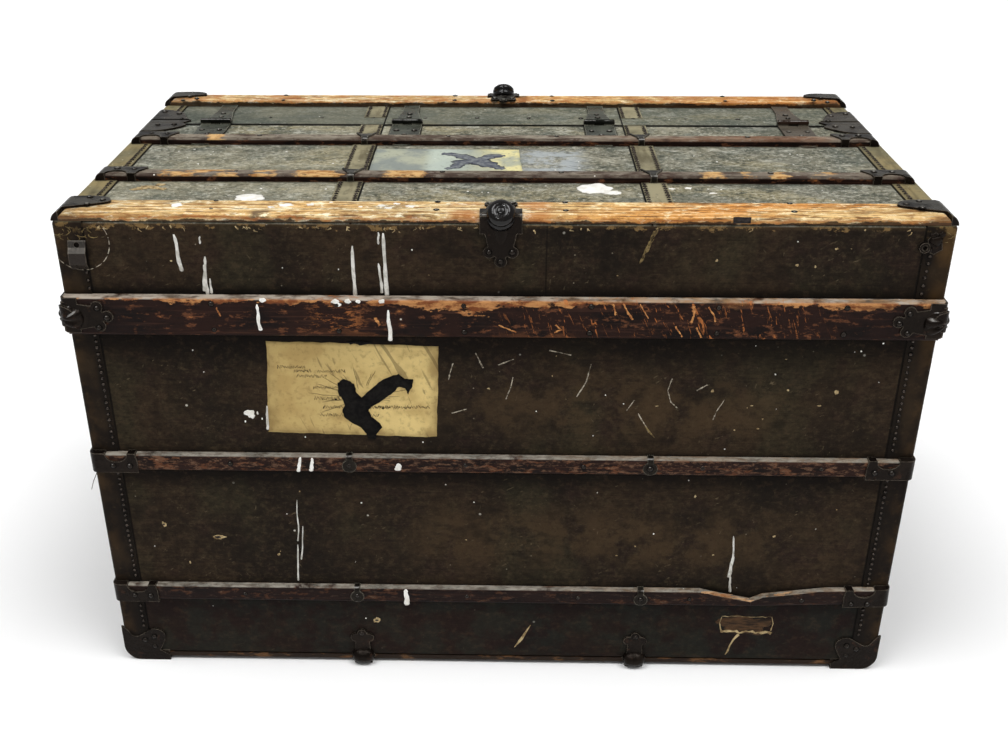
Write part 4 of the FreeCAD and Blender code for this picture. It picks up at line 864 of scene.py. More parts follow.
class Shape:
    """A piece in the making: strokes, blobs and patches on a flat place, and turned shapes."""

    def __init__(self, flat=None):
        self.mesh = bmesh.new()
        self.flat = flat

    def on(self, flat):
        """The same piece, going on at another flat place."""
        self.flat = flat
        return self

    def put(self, u, v, depth):
        return self.mesh.verts.new(self.flat.at(u, v, depth))

    def bridge(self, rings):
        """Faces between each ring and the next."""
        for low, high in zip(rings, rings[1:]):
            for step in range(len(low)):
                after = (step + 1) % len(low)
                self.mesh.faces.new((low[step], low[after], high[after], high[step]))

    def close(self, rings, base, top):
        """Faces between the rings, and fans to a point at each end."""
        self.bridge(rings)
        first, last = rings[0], rings[-1]
        for step in range(len(first)):
            after = (step + 1) % len(first)
            self.mesh.faces.new((last[step], last[after], top))
            self.mesh.faces.new((first[after], first[step], base))

    def stroke(self, points, widths, rise, sides=6):
        """A closed, flattened tube along points."""
        rings = []
        for index, (u, v) in enumerate(points):
            before = Vector(points[max(index - 1, 0)])
            after = Vector(points[min(index + 1, len(points) - 1)])
            run = (after - before).normalized()
            ring = []
            for step in range(sides):
                angle = 2 * math.pi * step / sides
                spread = widths[index] * math.cos(angle)
                depth = rise * max(math.sin(angle), -0.12) * min(1.0, 0.35 + widths[index] / max(widths))
                ring.append(self.put(u - run.y * spread, v + run.x * spread, depth))
            rings.append(ring)
        self.bridge(rings)
        self.mesh.faces.new(list(reversed(rings[0])))
        self.mesh.faces.new(rings[-1])

    def blob(self, centre, size, rise, wobble, seed, around=30):
        """A closed, low blob with an uneven outline."""
        rings = []
        for share, height in ((1.0, 0.0), (0.93, 0.62), (0.62, 0.95)):
            ring = []
            for step in range(around):
                angle = 2 * math.pi * step / around
                c, s = math.cos(angle), math.sin(angle)
                sway = noise.noise(Vector((c * 1.3 + seed, s * 1.3, seed * 0.7)))
                jag = noise.noise(Vector((c * 5.0 - seed, s * 5.0, seed)))
                reach = share * (1.0 + wobble * (1.2 * sway + 0.6 * jag))
                u, v = centre[0] + size[0] * reach * c, centre[1] + size[1] * reach * s
                ring.append(self.put(u, v, rise * height))
            rings.append(ring)
        top = self.put(*centre, rise)
        base = self.put(*centre, SUNK)
        self.close(rings, base, top)

    def patch(self, outline, rise, seed, jag=0.5 * MM):
        """A closed, thin patch with a slightly jagged outline, drawn in millimetres."""
        loop = []
        for start, end in zip(outline, outline[1:] + outline[:1]):
            for step in range(4):
                u, v = (Vector(start).lerp(Vector(end), step / 4)) * MM
                loop.append((u + jag * noise.noise(Vector((u * 700, v * 700, seed))),
                             v + jag * noise.noise(Vector((u * 700, v * 700, seed + 5)))))
        low = [self.put(u, v, SUNK) for u, v in loop]
        high = [self.put(u, v, rise) for u, v in loop]
        top = self.mesh.faces.new(high)
        base = self.mesh.faces.new(list(reversed(low)))
        self.bridge([low, high])
        top.normal_update()
        base.normal_update()
        bmesh.ops.triangulate(self.mesh, faces=[top, base])

    def drip(self, start, end, width, seed, rise=0.5 * MM):
        """A run of paint between two points, thicker at its lower end."""
        chance = random.Random(seed)
        count = 9
        points = []
        widths = []
        for index in range(count):
            share = index / (count - 1)
            sway = noise.noise(Vector((share * 2.2, seed * 1.7, 0.0))) * 1.6 * MM
            points.append((start[0] + (end[0] - start[0]) * share + sway,
                           start[1] + (end[1] - start[1]) * share))
            taper = 0.80 + 0.35 * share if index else 0.35
            widths.append(width * taper * chance.uniform(0.90, 1.35))
        points.append((points[-1][0], points[-1][1] - 0.7 * width))
        widths.append(widths[-1] * 0.6)
        self.stroke(points, widths, rise, 8)

    def scrawl(self, start, length, height, seed, width=0.42 * MM, rise=0.18 * MM):
        """A line of meaningless looping pen strokes, broken as words would be."""
        chance = random.Random(seed)
        u = start[0]
        while u < start[0] + length:
            word = chance.uniform(3.0, 6.0) * height
            points = []
            count = int(word / height * 3.8) + 4
            for index in range(count):
                share = index / (count - 1)
                loop = chance.uniform(0.35, 1.0)
                v = start[1] + height * loop * (0.5 if index % 2 else -0.35)
                points.append((u + word * share + chance.uniform(-0.2, 0.2) * height, v))
            self.stroke(points, [width * chance.uniform(0.7, 1.2) for _ in points], rise)
            u += word + height * chance.uniform(0.7, 1.3)

    def turned(self, base, axis, profile, sides=32):
        """A closed turned shape from (distance along the axis, radius) pairs in millimetres."""
        axis = Vector(axis).normalized()
        first = axis.orthogonal().normalized()
        second = axis.cross(first)
        base = Vector(base)
        ends = [self.mesh.verts.new(base + axis * (profile[index][0] * MM)) for index in (0, -1)]
        rings = []
        for along, radius in profile[1:-1]:
            angles = [2 * math.pi * step / sides for step in range(sides)]
            rings.append([self.mesh.verts.new(base + axis * (along * MM)
                                              + (first * math.cos(a) + second * math.sin(a)) * (radius * MM))
                          for a in angles])
        self.close(rings, *ends)

    def finish(self, name, material, body="body", smooth=True):
        """Turn the shape into a piece whose faces point outwards."""
        bmesh.ops.recalc_face_normals(self.mesh, faces=self.mesh.faces)
        mesh = bpy.data.meshes.new(name)
        self.mesh.to_mesh(mesh)
        self.mesh.free()
        for face in mesh.polygons:
            face.use_smooth = smooth
        return mesh_piece(name, mesh, material, body)


# ---- formed ironwork --------------------------------------------------------------------------
def add_knobs(glazed):
    """The polished balls of the edge bumpers: a stepped collar, a round body and a dished top, on a neck."""
    polished = plain_finish("Polished black iron", (8, 6, 5), (16, 12, 10), 60.0, 0.11, gloss=0.32)
    ball = [(-6, 0), (-6, 16.4), (0.2, 16.4), (1.4, 15.8), (2.0, 14.0), (3.2, 13.8), (4.0, 15.4), (7.0, 16.2),
            (10.0, 15.6), (12.6, 13.4), (14.2, 10.6), (15.0, 8.2), (14.5, 7.2), (14.2, 5.0), (15.2, 4.3),
            (15.6, 2.4), (15.6, 0)]
    neck = [(0, 0), (0, 12.0), (8, 12.4), (16, 11.0), (26, 8.4), (36, 6.2), (44, 4.6), (46, 0)]
    for name, body, side in (("bumper_knob", "body", 1), ("lid_bumper_knob", "lid", -1)):
        shape = Shape()
        shape.turned((0, side * (BOTTOM + 0.001), BACK + 0.008), (0, -side, 1), ball)
        shape.finish(name, polished, body)
        shape = Shape()
        shape.turned((0, side * (BOTTOM + 0.0052), BACK + 0.004), (0, -side * 0.02, -1), neck)
        shape.finish(name + "_neck", glazed, body)


def add_caster_remains(glazed):
    """What is left of a caster's plate at the right corner."""
    shape = Shape(BOTTOM_CANVAS)
    for u, v, size, rise in ((0.4865, 0.6165, 7.0, 4.5), (0.4785, 0.6060, 5.0, 4.0), (0.4915, 0.6240, 4.0, 3.0),
                             (0.4815, 0.6225, 3.6, 2.6)):
        shape.blob((u, v), (size * MM, size * 0.85 * MM), rise * MM, 0.35, u * 90, 24)
    shape.finish("caster_remains", glazed)


def add_low_bulges(iron):
    """The round fronts of the two lower bumpers of the bottom."""
    shape = Shape()
    rising = [(-14.8, 0), (-14.8, 3.4), (-13.6, 7.6), (-10.0, 10.2), (-5, 11.4)]
    bulge = rising + [(0, 11.8)] + [(-along, radius) for along, radius in reversed(rising)]
    for x in (-0.184, 0.184):
        shape.turned((x, 0, 0.0120), (1, 0, 0), bulge)
    for vertex in shape.mesh.verts:
        vertex.co.y = BOTTOM + 0.001 + 1.12 * vertex.co.y
    shape.finish("low_bumper_bulges", iron)


def add_shell(shape, side_x, side_y):
    """One ribbed shell over a corner at an end of the wide slat."""
    centre = Vector((side_x * (END - 0.0105), side_y * (-BOTTOM + 0.0015), WIDE_SLAT_Z - 0.001))
    axis = Vector((side_x, side_y, 0)).normalized()
    across = Vector((-axis.y, axis.x, 0))
    up = Vector((0, 0, 1))
    around, steps = 72, 9
    rings = []
    for step in range(steps):
        slope = 0.5 * math.pi * step / steps
        ring = []
        for k in range(around):
            turn = 2 * math.pi * k / around
            rib = abs(math.sin(turn * 3.5 + 1.1 * slope)) ** 0.7
            depth = 1.0 + 0.24 * (rib - 0.6) * math.sin(2 * slope) ** 0.5
            reach = 0.0180 * math.cos(slope) * depth
            height = 0.0182 * math.sin(slope) * depth
            spread = (across * math.cos(turn) + up * math.sin(turn)) * reach
            ring.append(shape.mesh.verts.new(centre + axis * height + spread))
        rings.append(ring)
    top = shape.mesh.verts.new(centre + axis * 0.0172)
    base = shape.mesh.verts.new(centre - axis * 0.002)
    shape.close(rings, base, top)


def add_corner_shells(iron):
    """Ribbed shells on the ends of the wide slats."""
    for name, body, side_y in (("corner_shells", "body", -1), ("lid_corner_shells", "lid", 1)):
        shape = Shape()
        for side_x in (-1, 1):
            add_shell(shape, side_x, side_y)
        shape.finish(name, iron, body)


def add_clamp_ribs(iron):
    """The raised V of the clamps where the slats of the back cross the bands."""
    shape = Shape(over_back(9.4))
    for x in (-BAND_X, BAND_X):
        for y in SLAT_YS:
            for side in (-1, 1):
                points = [(x + side * 0.0120, y + 0.0120), (x + side * 0.0090, y + 0.0060),
                          (x + side * 0.0042, y - 0.0035), (x + side * 0.0036, y - 0.0100)]
                shape.stroke(points, [1.9 * MM, 1.9 * MM, 1.6 * MM, 1.2 * MM], 1.9 * MM, 8)
    shape.finish("clamp_ribs", iron)


def add_hinge_ends(leaf, rusty):
    """The scalloped ends of the body's hinge leaves, close by the upper slat."""
    left = [(-21, 100), (-21, 70), (-19.5, 64.5), (-14, 61.5), (-9, 64), (-7, 66.5), (-4.5, 62.5)]
    scallops = left + [(0, 60.5)] + [(-dx, y) for dx, y in reversed(left)]
    for name, places, finish in (("hinge_ends", (-409, -136, 136), leaf), ("rusty_hinge_end", (409,), rusty)):
        shape = Shape(BACK_CANVAS)
        for x in places:
            shape.patch([(x + dx, y) for dx, y in scallops], 2.0 * MM, 6.0, 0.15 * MM)
        shape.finish(name, finish, smooth=False)


# ---- operators --------------------------------------------------------------------------------
class TRUNK_OT_finish_coverings(bpy.types.Operator):
    """Give canvas, edge fibre, linings and boards their finishes"""
    bl_idname = "trunk.finish_coverings"
    bl_label = "Finish coverings"

    def execute(self, context):
        colours = context.scene.trunk_colours
        canvas = painted_canvas(colours)
        finish_nodes(["body_canvas", "lid_canvas", "lid_seam_band"], canvas)
        finish_nodes(["body_fibre_bindings", "lid_fibre_bindings"], edge_fibre(colours))
        paper = plain_finish("Lining paper", (180, 166, 135), (164, 149, 118), 14.0, 0.85, relief=0.0003)
        finish_nodes(["body_lining", "lid_lining"], paper)
        pine = plain_finish("Pine boards", (186, 148, 98), (142, 104, 64), 1.0, 0.7, (6.0, 90.0, 90.0))
        boards = [name for name in NODES if "_board" in name] + ["body_mouth_lip", "tray_cleats"]
        finish_nodes(boards, pine)
        return {"FINISHED"}


class TRUNK_OT_finish_slats(bpy.types.Operator):
    """Give the slats their worn wood"""
    bl_idname = "trunk.finish_slats"
    bl_label = "Finish slats"

    def execute(self, context):
        colours = context.scene.trunk_colours
        edges = ["back_bottom_edge_slat", "back_lid_edge_slat", "front_bottom_edge_slat", "front_lid_edge_slat"]
        finish_nodes(edges, bare_edge_wood(colours))
        slats = ["back_slat_lower", "back_slat_upper", "front_slats", "lid_top_slats"] + named("bottom_slat_")
        finish_nodes(slats, stained_slat_wood(colours))
        return {"FINISHED"}


class TRUNK_OT_finish_hardware(bpy.types.Operator):
    """Give hinges, caps, clamps, bumpers, lock, latches and handles their finishes"""
    bl_idname = "trunk.finish_hardware"
    bl_label = "Finish hardware"

    def execute(self, context):
        colours = context.scene.trunk_colours
        iron = worn_iron("Black iron", colours.iron, (44, 36, 30), (52, 34, 25), 0.45, 0.10)
        finish_nodes(named("body_slat_clamps", "lid_slat_clamps", "body_corner_caps",
                           "lid_corner_caps", "body_seam_plates", "lid_seam_plates", "body_ball_bumpers",
                           "lid_ball_bumpers", "caster_stump", "handle_loops"), iron)
        leaf = worn_iron("Hinge iron", colours.hinge_iron, (112, 112, 98), (50, 44, 34), 0.35, 0.10,
                         (150, 148, 132), dust_tone=(82, 86, 78), crown=(4, 4, 4), wear=2.2 * MM)
        finish_nodes(named("hinge_body_leaf_", "hinge_lid_leaf_"), leaf)
        rusty = worn_iron("Rusty hinge iron", (68, 62, 53), (110, 103, 90), (58, 43, 34), 0.45, 0.09,
                          dust_tone=(92, 84, 74), crown=(38, 22, 16), wear=2.2 * MM)
        finish_nodes(["hinge_body_leaf_4", "hinge_lid_leaf_4"], rusty)
        add_hinge_ends(leaf, rusty)
        glazed = plain_finish("Glazed black iron", (12, 9, 7), (24, 18, 14), 60.0, 0.25, gloss=0.10,
                              tint=WARM_GLOSS)
        add_knobs(glazed)
        add_caster_remains(glazed)
        add_low_bulges(iron)
        add_corner_shells(iron)
        clamp_iron = worn_iron("Clamp iron", (20, 18, 15), (58, 55, 48), (50, 38, 30), 0.3, 0.12,
                               (128, 122, 108), wear=2.0 * MM)
        finish_nodes(named("body_band_clamps"), clamp_iron)
        add_clamp_ribs(clamp_iron)
        # the strap's sheen is a painted highlight on its bend
        strap = worn_iron("Bent strap iron", (16, 13, 12), (52, 46, 42), (40, 28, 22), 0.2, 0.30, sheen=1.0)
        finish_nodes(["caster_strap_left"], strap)
        steel = plain_finish("Tarnished steel", (92, 88, 82), (54, 46, 38), 90.0, 0.45, metal=1.0)
        finish_nodes(["hinge_pins"], steel)
        brass = plain_finish("Tarnished brass", (126, 104, 62), (70, 58, 38), 45.0, 0.42, metal=1.0)
        finish_nodes(["lock_plate", "hasp_plate", "hasp", "latch_plates", "latch_catches", "latch_lever_left",
                      "latch_lever_right"], brass)
        leather = plain_finish("Strap leather", (66, 42, 28), (32, 21, 15), 60.0, 0.55, relief=0.0012)
        finish_nodes(["handle_left", "handle_right"], leather)
        return {"FINISHED"}


class TRUNK_OT_add_nails(bpy.types.Operator):
    """Set the rows of small nails along edge fibre and bands"""
    bl_idname = "trunk.add_nails"
    bl_label = "Add nail rows"

    def execute(self, context):
        sizes = context.scene.trunk_sizes
        finish = plain_finish("Nail iron", (62, 54, 47), (16, 13, 11), 220.0, 0.20, gloss=0.34, tint=WARM_GLOSS)
        ring = plain_finish("Shade round a nail", (7, 6, 5), (12, 10, 9), 90.0, 0.6, gloss=0.05)
        tree = stud_tree(True)
        values = {"Pitch": sizes.nail_pitch, "Radius": sizes.nail_radius, "Rise": sizes.nail_radius * 0.8,
                  "Wobble": 0.25 * MM, "Seed": 7, "Finish": finish, "Ring finish": ring}
        for name, body, points in zip(("edge_nails", "lid_edge_nails"), ("body", "lid"), nail_rows()):
            edges = [(index, index + 1) for index in range(0, len(points), 2)]
            studs(name, body, tree, points, edges, values)
        return {"FINISHED"}


class TRUNK_OT_add_rivets(bpy.types.Operator):
    """Set the rivets of the hardware, the slats and the hinges"""
    bl_idname = "trunk.add_rivets"
    bl_label = "Add rivets"

    def execute(self, context):
        sizes = context.scene.trunk_sizes
        iron = worn_iron("Rivet iron", (18, 15, 13), (56, 49, 43), (46, 33, 26), 0.3, 0.22,
                         dust=0.8, dust_tone=(112, 110, 102))
        ring = plain_finish("Shade round a head", (7, 6, 5), (12, 10, 9), 90.0, 0.6, gloss=0.05)
        tree = stud_tree(False)
        groups = (("hardware_rivets", hardware_rivets(), 1.0, 0.62), ("slat_nails", slat_rivets(), 0.86, 0.42),
                  ("hinge_rivets", hinge_rivets(), 1.0, 0.6))
        for name, (body, lid), share, rise in groups:
            radius = sizes.rivet_radius * share
            values = {"Pitch": 0.0, "Radius": radius, "Rise": radius * rise, "Wobble": 0.5 * MM, "Seed": 3,
                      "Finish": iron, "Ring finish": ring}
            studs(name, "body", tree, body, [], values)
            studs("lid_" + name, "lid", tree, lid, [], values)
        return {"FINISHED"}


def label_paper(colours):
    """Aged label paper: yellow-brown, stained towards the edges, with fine creases."""
    material, make = new_material("Label paper")
    x, _, z = make.place()
    broad = make.noise(22, 4)
    fine = make.noise(160, 4, 0.7)
    crease = make.noise((90, 1, 12), 3, 0.5, 1, turn=(0, 0.4, 0))
    colour = make.mix((x, -0.24, -0.1), (196, 170, 110), colours.paper)
    left = make.step(x, -0.262, -0.281)
    right = make.step(x, -0.092, -0.076)
    low = make.step(z, 0.374, 0.36)
    stain = make.both(make.either(left, right, low), (broad, 0.3, 0.6))
    colour = make.layers(colour, [
        (broad, 0.42, 0.66, 0.6, (170, 140, 84)),
        (fine, 0.5, 0.68, 0.4, (136, 110, 66)),
        (crease, 0.64, 0.69, 0.55, (98, 80, 50)),
        (stain, 0.5, (110, 88, 50))])
    make.surface(colour, 0.8, make.bump(make.plus(broad, fine), 0.0004, 0.7), gloss=0.2)
    return material


def faded_paper():
    """The remains of a second label: blue-grey with pale yellow patches."""
    material, make = new_material("Faded label paper")
    x = make.place()[0]
    broad = make.noise(24, 4, 0.6)
    fine = make.noise(150, 4, 0.7)
    colour = make.mix((broad, 0.38, 0.62), (134, 140, 134), (168, 170, 150))
    yellow = make.both((x, -0.05, 0), (broad, 0.62, 0.44))
    blue = make.both((x, -0.02, -0.08), (x, -0.105, -0.088))
    colour = make.layers(colour, [
        (yellow, 0.9, (224, 214, 156)),
        (blue, 0.75, (186, 196, 184)),
        (fine, 0.54, 0.7, 0.5, (110, 114, 104))])
    make.surface(colour, 0.85, make.bump(fine, 0.0003, 0.6), gloss=0.2)
    return material


def paper_sheet(name, flat, corners, material, seed, ragged, lift):
    """A thin glued sheet with ragged edges, from the places of its four corners."""
    noise.seed_set(5)  # without it the vector noise differs from run to run
    across, up = 44, 28
    corners = [Vector(corner) for corner in corners]
    shape = Shape(flat)
    grid = []
    for j in range(up + 1):
        line = []
        for i in range(across + 1):
            s, t = i / across, j / up
            place = corners[0].lerp(corners[1], s).lerp(corners[3].lerp(corners[2], s), t)
            border = max(abs(s - 0.5), abs(t - 0.5)) * 2
            sway = noise.noise_vector(Vector((place.x * 90, place.y * 90, seed)))
            sway = sway * ragged * max(0.0, border - 0.86) * 7
            wave = noise.noise(Vector((place.x * 38, place.y * 38, seed + 3)))
            line.append(shape.put(place.x + sway.x, place.y + sway.y, lift * (1.0 + 0.6 * wave)))
        grid.append(line)
    for low, high in zip(grid, grid[1:]):
        for i in range(across):
            shape.mesh.faces.new((low[i], low[i + 1], high[i + 1], high[i]))
    skin = shape.finish(name, material).modifiers.new("thickness", "SOLIDIFY")
    skin.thickness = 0.25 * MM
    skin.offset = -1.0


def bottom_label(colours, width, height):
    """The old label on the bottom, with faded pen strokes that say nothing."""
    left, low = -0.281, 0.3595
    right, high = left + width, low + height
    corners = ((left - 0.003, low + 0.002), (right - 0.001, low - 0.003), (right + 0.003, high - 0.005),
               (left + 0.004, high))
    paper_sheet("bottom_label", BOTTOM_CANVAS, corners, label_paper(colours), 5.0, 1.4 * MM, 0.35 * MM)
    ink = plain_finish("Old ink", (34, 27, 20), (60, 48, 32), 200.0, 0.7)
    shape = Shape(over_bottom(0.45))
    lines = ((-0.267, 0.451, 0.030), (-0.247, 0.446, 0.036), (-0.243, 0.439, 0.034), (-0.226, 0.424, 0.022),
             (-0.224, 0.409, 0.040), (-0.216, 0.397, 0.098), (-0.218, 0.386, 0.058), (-0.152, 0.398, 0.040))
    for index, (u, v, length) in enumerate(lines):
        shape.scrawl((u, v), length, 6.0 * MM, 20 + index)
    shape.finish("label_scrawl", ink)


def label_tar(chance):
    """A brush mark of dried tar on the label, with a notch over its upper edge, fine spatter and drops."""
    tar = plain_finish("Dried tar", (9, 8, 8), (26, 24, 22), 160.0, 0.6, gloss=0.06, relief=0.001)
    shape = Shape(over_bottom(0.45))
    stain = [(-195, 431), (-188, 436), (-180, 433), (-175, 428), (-173, 417), (-167, 411), (-158, 420),
             (-146, 432), (-134, 439), (-121, 443), (-114, 437), (-104, 436), (-105, 427), (-111, 416),
             (-114, 424), (-122, 426), (-128, 419), (-136, 412), (-145, 405), (-155, 399), (-160, 394),
             (-157, 385), (-147, 376), (-144, 370), (-151, 361), (-153, 353), (-162, 353), (-164, 361),
             (-170, 369), (-181, 376), (-190, 384), (-192, 392), (-188, 400), (-190, 408), (-195, 415)]
    shape.patch(stain, 0.5 * MM, 3.0, 1.1 * MM)
    top_notch = [(-182, 486), (-177, 482), (-172, 484), (-166, 481), (-156, 483), (-151, 485), (-160, 487)]
    shape.patch(top_notch, 0.5 * MM, 4.0)
    for _ in range(24):
        way = chance.uniform(0, 2 * math.pi)
        near, far = chance.uniform(0.012, 0.026), chance.uniform(0.034, 0.066)
        points = []
        for step in range(6):
            reach = near + (far - near) * step / 5
            u = -0.168 + reach * math.cos(way) + chance.uniform(-0.6, 0.6) * MM
            v = 0.410 + reach * 0.75 * math.sin(way) + chance.uniform(-0.6, 0.6) * MM
            points.append((min(max(u, -0.276), -0.080), min(max(v, 0.364), 0.481)))
        shape.stroke(points, [0.22 * MM] * 5 + [0.08 * MM], 0.12 * MM)
    for index, (u, v, size) in enumerate(((-0.151, 0.403, 1.5), (-0.199, 0.408, 1.4), (-0.142, 0.396, 1.2))):
        shape.blob((u, v), (size * MM, size * MM), 0.4 * MM, 0.5, 12.0 + index, 12)
    shape.finish("label_tar", tar)


def back_label(chance):
    """The remains of a label on the back, with a ragged stain."""
    corners = ((-0.168, -0.086), (0.026, -0.088), (0.022, 0.014), (-0.168, 0.016))
    paper_sheet("back_label", BACK_CANVAS, corners, faded_paper(), 11.0, 1.2 * MM, 0.3 * MM)
    slate = plain_finish("Slate stain", (74, 76, 88), (122, 126, 128), 120.0, 0.8)
    shape = Shape(over_back(0.4))
    crossing = (([(-0.080, -0.006), (-0.064, -0.009), (-0.044, -0.024), (-0.024, -0.046), (-0.006, -0.064),
                  (0.004, -0.074)], [0.004, 0.010, 0.008, 0.015, 0.009, 0.003]),
                ([(0.004, -0.014), (-0.014, -0.016), (-0.030, -0.034), (-0.052, -0.044), (-0.060, -0.064),
                  (-0.074, -0.074)], [0.003, 0.012, 0.007, 0.013, 0.007, 0.003]))
    for line, widths in crossing:
        widths = [a + (b - a) * step / 6 for a, b in zip(widths, widths[1:]) for step in range(6)]
        shape.stroke(finer(line, 6), [width * chance.uniform(0.62, 1.25) for width in widths], 0.3 * MM)
    shape.finish("back_label_stain", slate)


class TRUNK_OT_add_labels(bpy.types.Operator):
    """Stick the old label on the bottom and the remains of one on the back"""
    bl_idname = "trunk.add_labels"
    bl_label = "Add labels"

    def execute(self, context):
        sizes = context.scene.trunk_sizes
        bottom_label(context.scene.trunk_colours, sizes.label_width, sizes.label_height)
        chance = random.Random(31)
        label_tar(chance)
        back_label(chance)
        return {"FINISHED"}


def spatter(shape):
    """Small drops of paint over the back and the bottom."""
    chance = random.Random(12)
    shape.on(BACK_CANVAS)
    for _ in range(46):
        u = chance.uniform(-0.46, 0.46)
        v = chance.choice((chance.uniform(-0.215, -0.135), chance.uniform(-0.095, 0.025)))
        size = chance.uniform(0.5, 1.7) * MM
        shape.blob((u, v), (size, size), 0.3 * MM, 0.4, chance.uniform(0, 90), 8)
    shape.on(BOTTOM_CANVAS)
    for _ in range(40):
        u = chance.uniform(-0.46, 0.46)
        v = chance.uniform(0.06, 0.62)
        size = chance.uniform(0.4, 1.1) * MM
        shape.blob((u, v), (size, size), 0.3 * MM, 0.4, chance.uniform(0, 90), 8)


def white_paint():
    """The runs, drops, smears and spilled patches of white paint."""
    white = plain_finish("Spilled white paint", (250, 249, 244), (226, 222, 212), 60.0, 0.45, relief=0.0004)
    dull = plain_finish("Dull white paint", (228, 226, 219), (184, 180, 170), 90.0, 0.5, relief=0.0004)
    on_canvas = (((-0.371, 0.6185), (-0.367, 0.575), 1.9), ((-0.342, 0.6165), (-0.3415, 0.608), 0.9),
                 ((-0.338, 0.592), (-0.343, 0.550), 1.6), ((-0.341, 0.582), (-0.340, 0.546), 1.8),
                 ((-0.335, 0.565), (-0.335, 0.547), 1.1), ((-0.168, 0.606), (-0.169, 0.546), 1.7),
                 ((-0.1330, 0.6215), (-0.1315, 0.546), 2.0), ((-0.1385, 0.6225), (-0.1388, 0.609), 1.1),
                 ((-0.1400, 0.585), (-0.1370, 0.549), 1.4), ((-0.284, 0.398), (-0.285, 0.366), 1.6),
                 ((-0.257, 0.262), (-0.260, 0.199), 0.7), ((-0.261, 0.193), (-0.264, 0.136), 1.0),
                 ((-0.252, 0.222), (-0.258, 0.170), 0.8), ((0.300, 0.214), (0.303, 0.178), 1.1),
                 ((0.303, 0.184), (0.300, 0.150), 1.8), ((0.300, 0.156), (0.304, 0.126), 1.3))
    on_wide_slat = (((-0.281, 0.538), (-0.280, 0.506), 1.7), ((-0.129, 0.532), (-0.129, 0.494), 1.9))
    on_slim_slats = (((-0.246, 0.331), (-0.250, 0.311), 1.8), ((-0.232, 0.330), (-0.234, 0.312), 1.9),
                     ((-0.124, 0.323), (-0.125, 0.315), 3.0), ((-0.122, 0.130), (-0.121, 0.106), 2.6))
    runs = Shape()
    shape = Shape()
    for piece, flat, seed, drips in ((runs, BOTTOM_CANVAS, 0, on_canvas), (shape, WIDE_SLAT, 40, on_wide_slat),
                                     (shape, SLIM_SLAT, 50, on_slim_slats)):
        for index, (start, end, width) in enumerate(drips):
            piece.on(flat).drip(start, end, width * MM, seed + index)
    runs.finish("paint_runs", dull)
    slat_drops = ((-0.274, 0.5435, 3.6), (-0.190, 0.5425, 4.0), (-0.186, 0.5380, 2.6), (-0.176, 0.5430, 3.6),
                  (-0.164, 0.5425, 2.6), (-0.137, 0.5430, 3.4))
    shape.on(WIDE_SLAT)
    for index, (u, v, size) in enumerate(slat_drops):
        shape.blob((u, v), (size * 1.15 * MM, size * 0.8 * MM), 0.5 * MM, 0.4, 80.0 + index, 16)
    shape.on(BOTTOM_CANVAS).blob((-0.305, 0.386), (0.0060, 0.0055), 0.5 * MM, 0.5, 8.0, 20)
    for u, v, size in ((-0.296, 0.388, 1.6), (-0.312, 0.376, 1.3), (-0.291, 0.380, 1.1), (0.0, 0.5995, 2.0)):
        shape.blob((u, v), (size * 0.7 * MM, size * 1.4 * MM), 0.4 * MM, 0.4, u * 50, 12)
    spills = ((BACK_CANVAS, 0.6, ((0.112, -0.146, 20.0, 18.5, 0.30, 4.0),
                                  (0.132, -0.162, 12.5, 7.0, 0.35, 14.0),
                                  (-0.300, -0.186, 18.0, 13.0, 0.30, 7.0))),
              (BACK_SLAT, 0.4, ((-0.372, -0.240, 6.5, 6.0, 0.35, 17.0),
                                (-0.246, -0.238, 9.0, 5.0, 0.50, 19.0))))
    for flat, rise, blobs in spills:
        for u, v, size_u, size_v, wobble, seed in blobs:
            shape.on(flat).blob((u, v), (size_u * MM, size_v * MM), rise * MM, wobble, seed)
    back_drops = ((-0.218, -0.236, 3.4), (-0.262, -0.246, 3.0), (-0.137, -0.238, 3.6), (-0.120, -0.232, 2.6),
                  (-0.104, -0.240, 4.0), (-0.128, -0.247, 3.0), (-0.196, -0.228, 1.6), (-0.160, -0.243, 1.8),
                  (0.206, -0.146, 2.6), (0.225, -0.143, 3.6), (0.253, -0.162, 2.8))
    for index, (u, v, size) in enumerate(back_drops):
        shape.on(BACK_SLAT if v < -0.22 else BACK_CANVAS)
        shape.blob((u, v), (size * 1.5 * MM, size * MM), 0.4 * MM, 0.55, 60.0 + index, 16)
    spatter(shape)
    shape.finish("white_paint", white)


class TRUNK_OT_add_paint_marks(bpy.types.Operator):
    """Add the runs, drops and smears of white paint"""
    bl_idname = "trunk.add_paint_marks"
    bl_label = "Add paint marks"

    def execute(self, context):
        white_paint()
        return {"FINISHED"}


def iron_stains():
    """Dark rust on the near edge slat and round three bare spots of the canvas."""
    shape = Shape(over_bottom(0.2))
    shape.patch([(259, 635.4), (278, 635.4), (278.5, 642.8), (258.5, 642.8)], 0.5 * MM, 2.0, 0.4 * MM)
    for u, v, size in ((-0.364, 0.2035, 2.8), (-0.4325, 0.2225, 1.4), (-0.1635, 0.0712, 2.0)):
        shape.on(BOTTOM_CANVAS).blob((u, v), (size * 1.4 * MM, size * 0.75 * MM), 1.0 * MM, 0.4, u * 70, 16)
    stain = plain_finish("Iron stain", (56, 50, 48), (24, 20, 18), 150.0, 0.7, (1.0, 3.0, 3.0))
    shape.finish("slat_stain", stain)


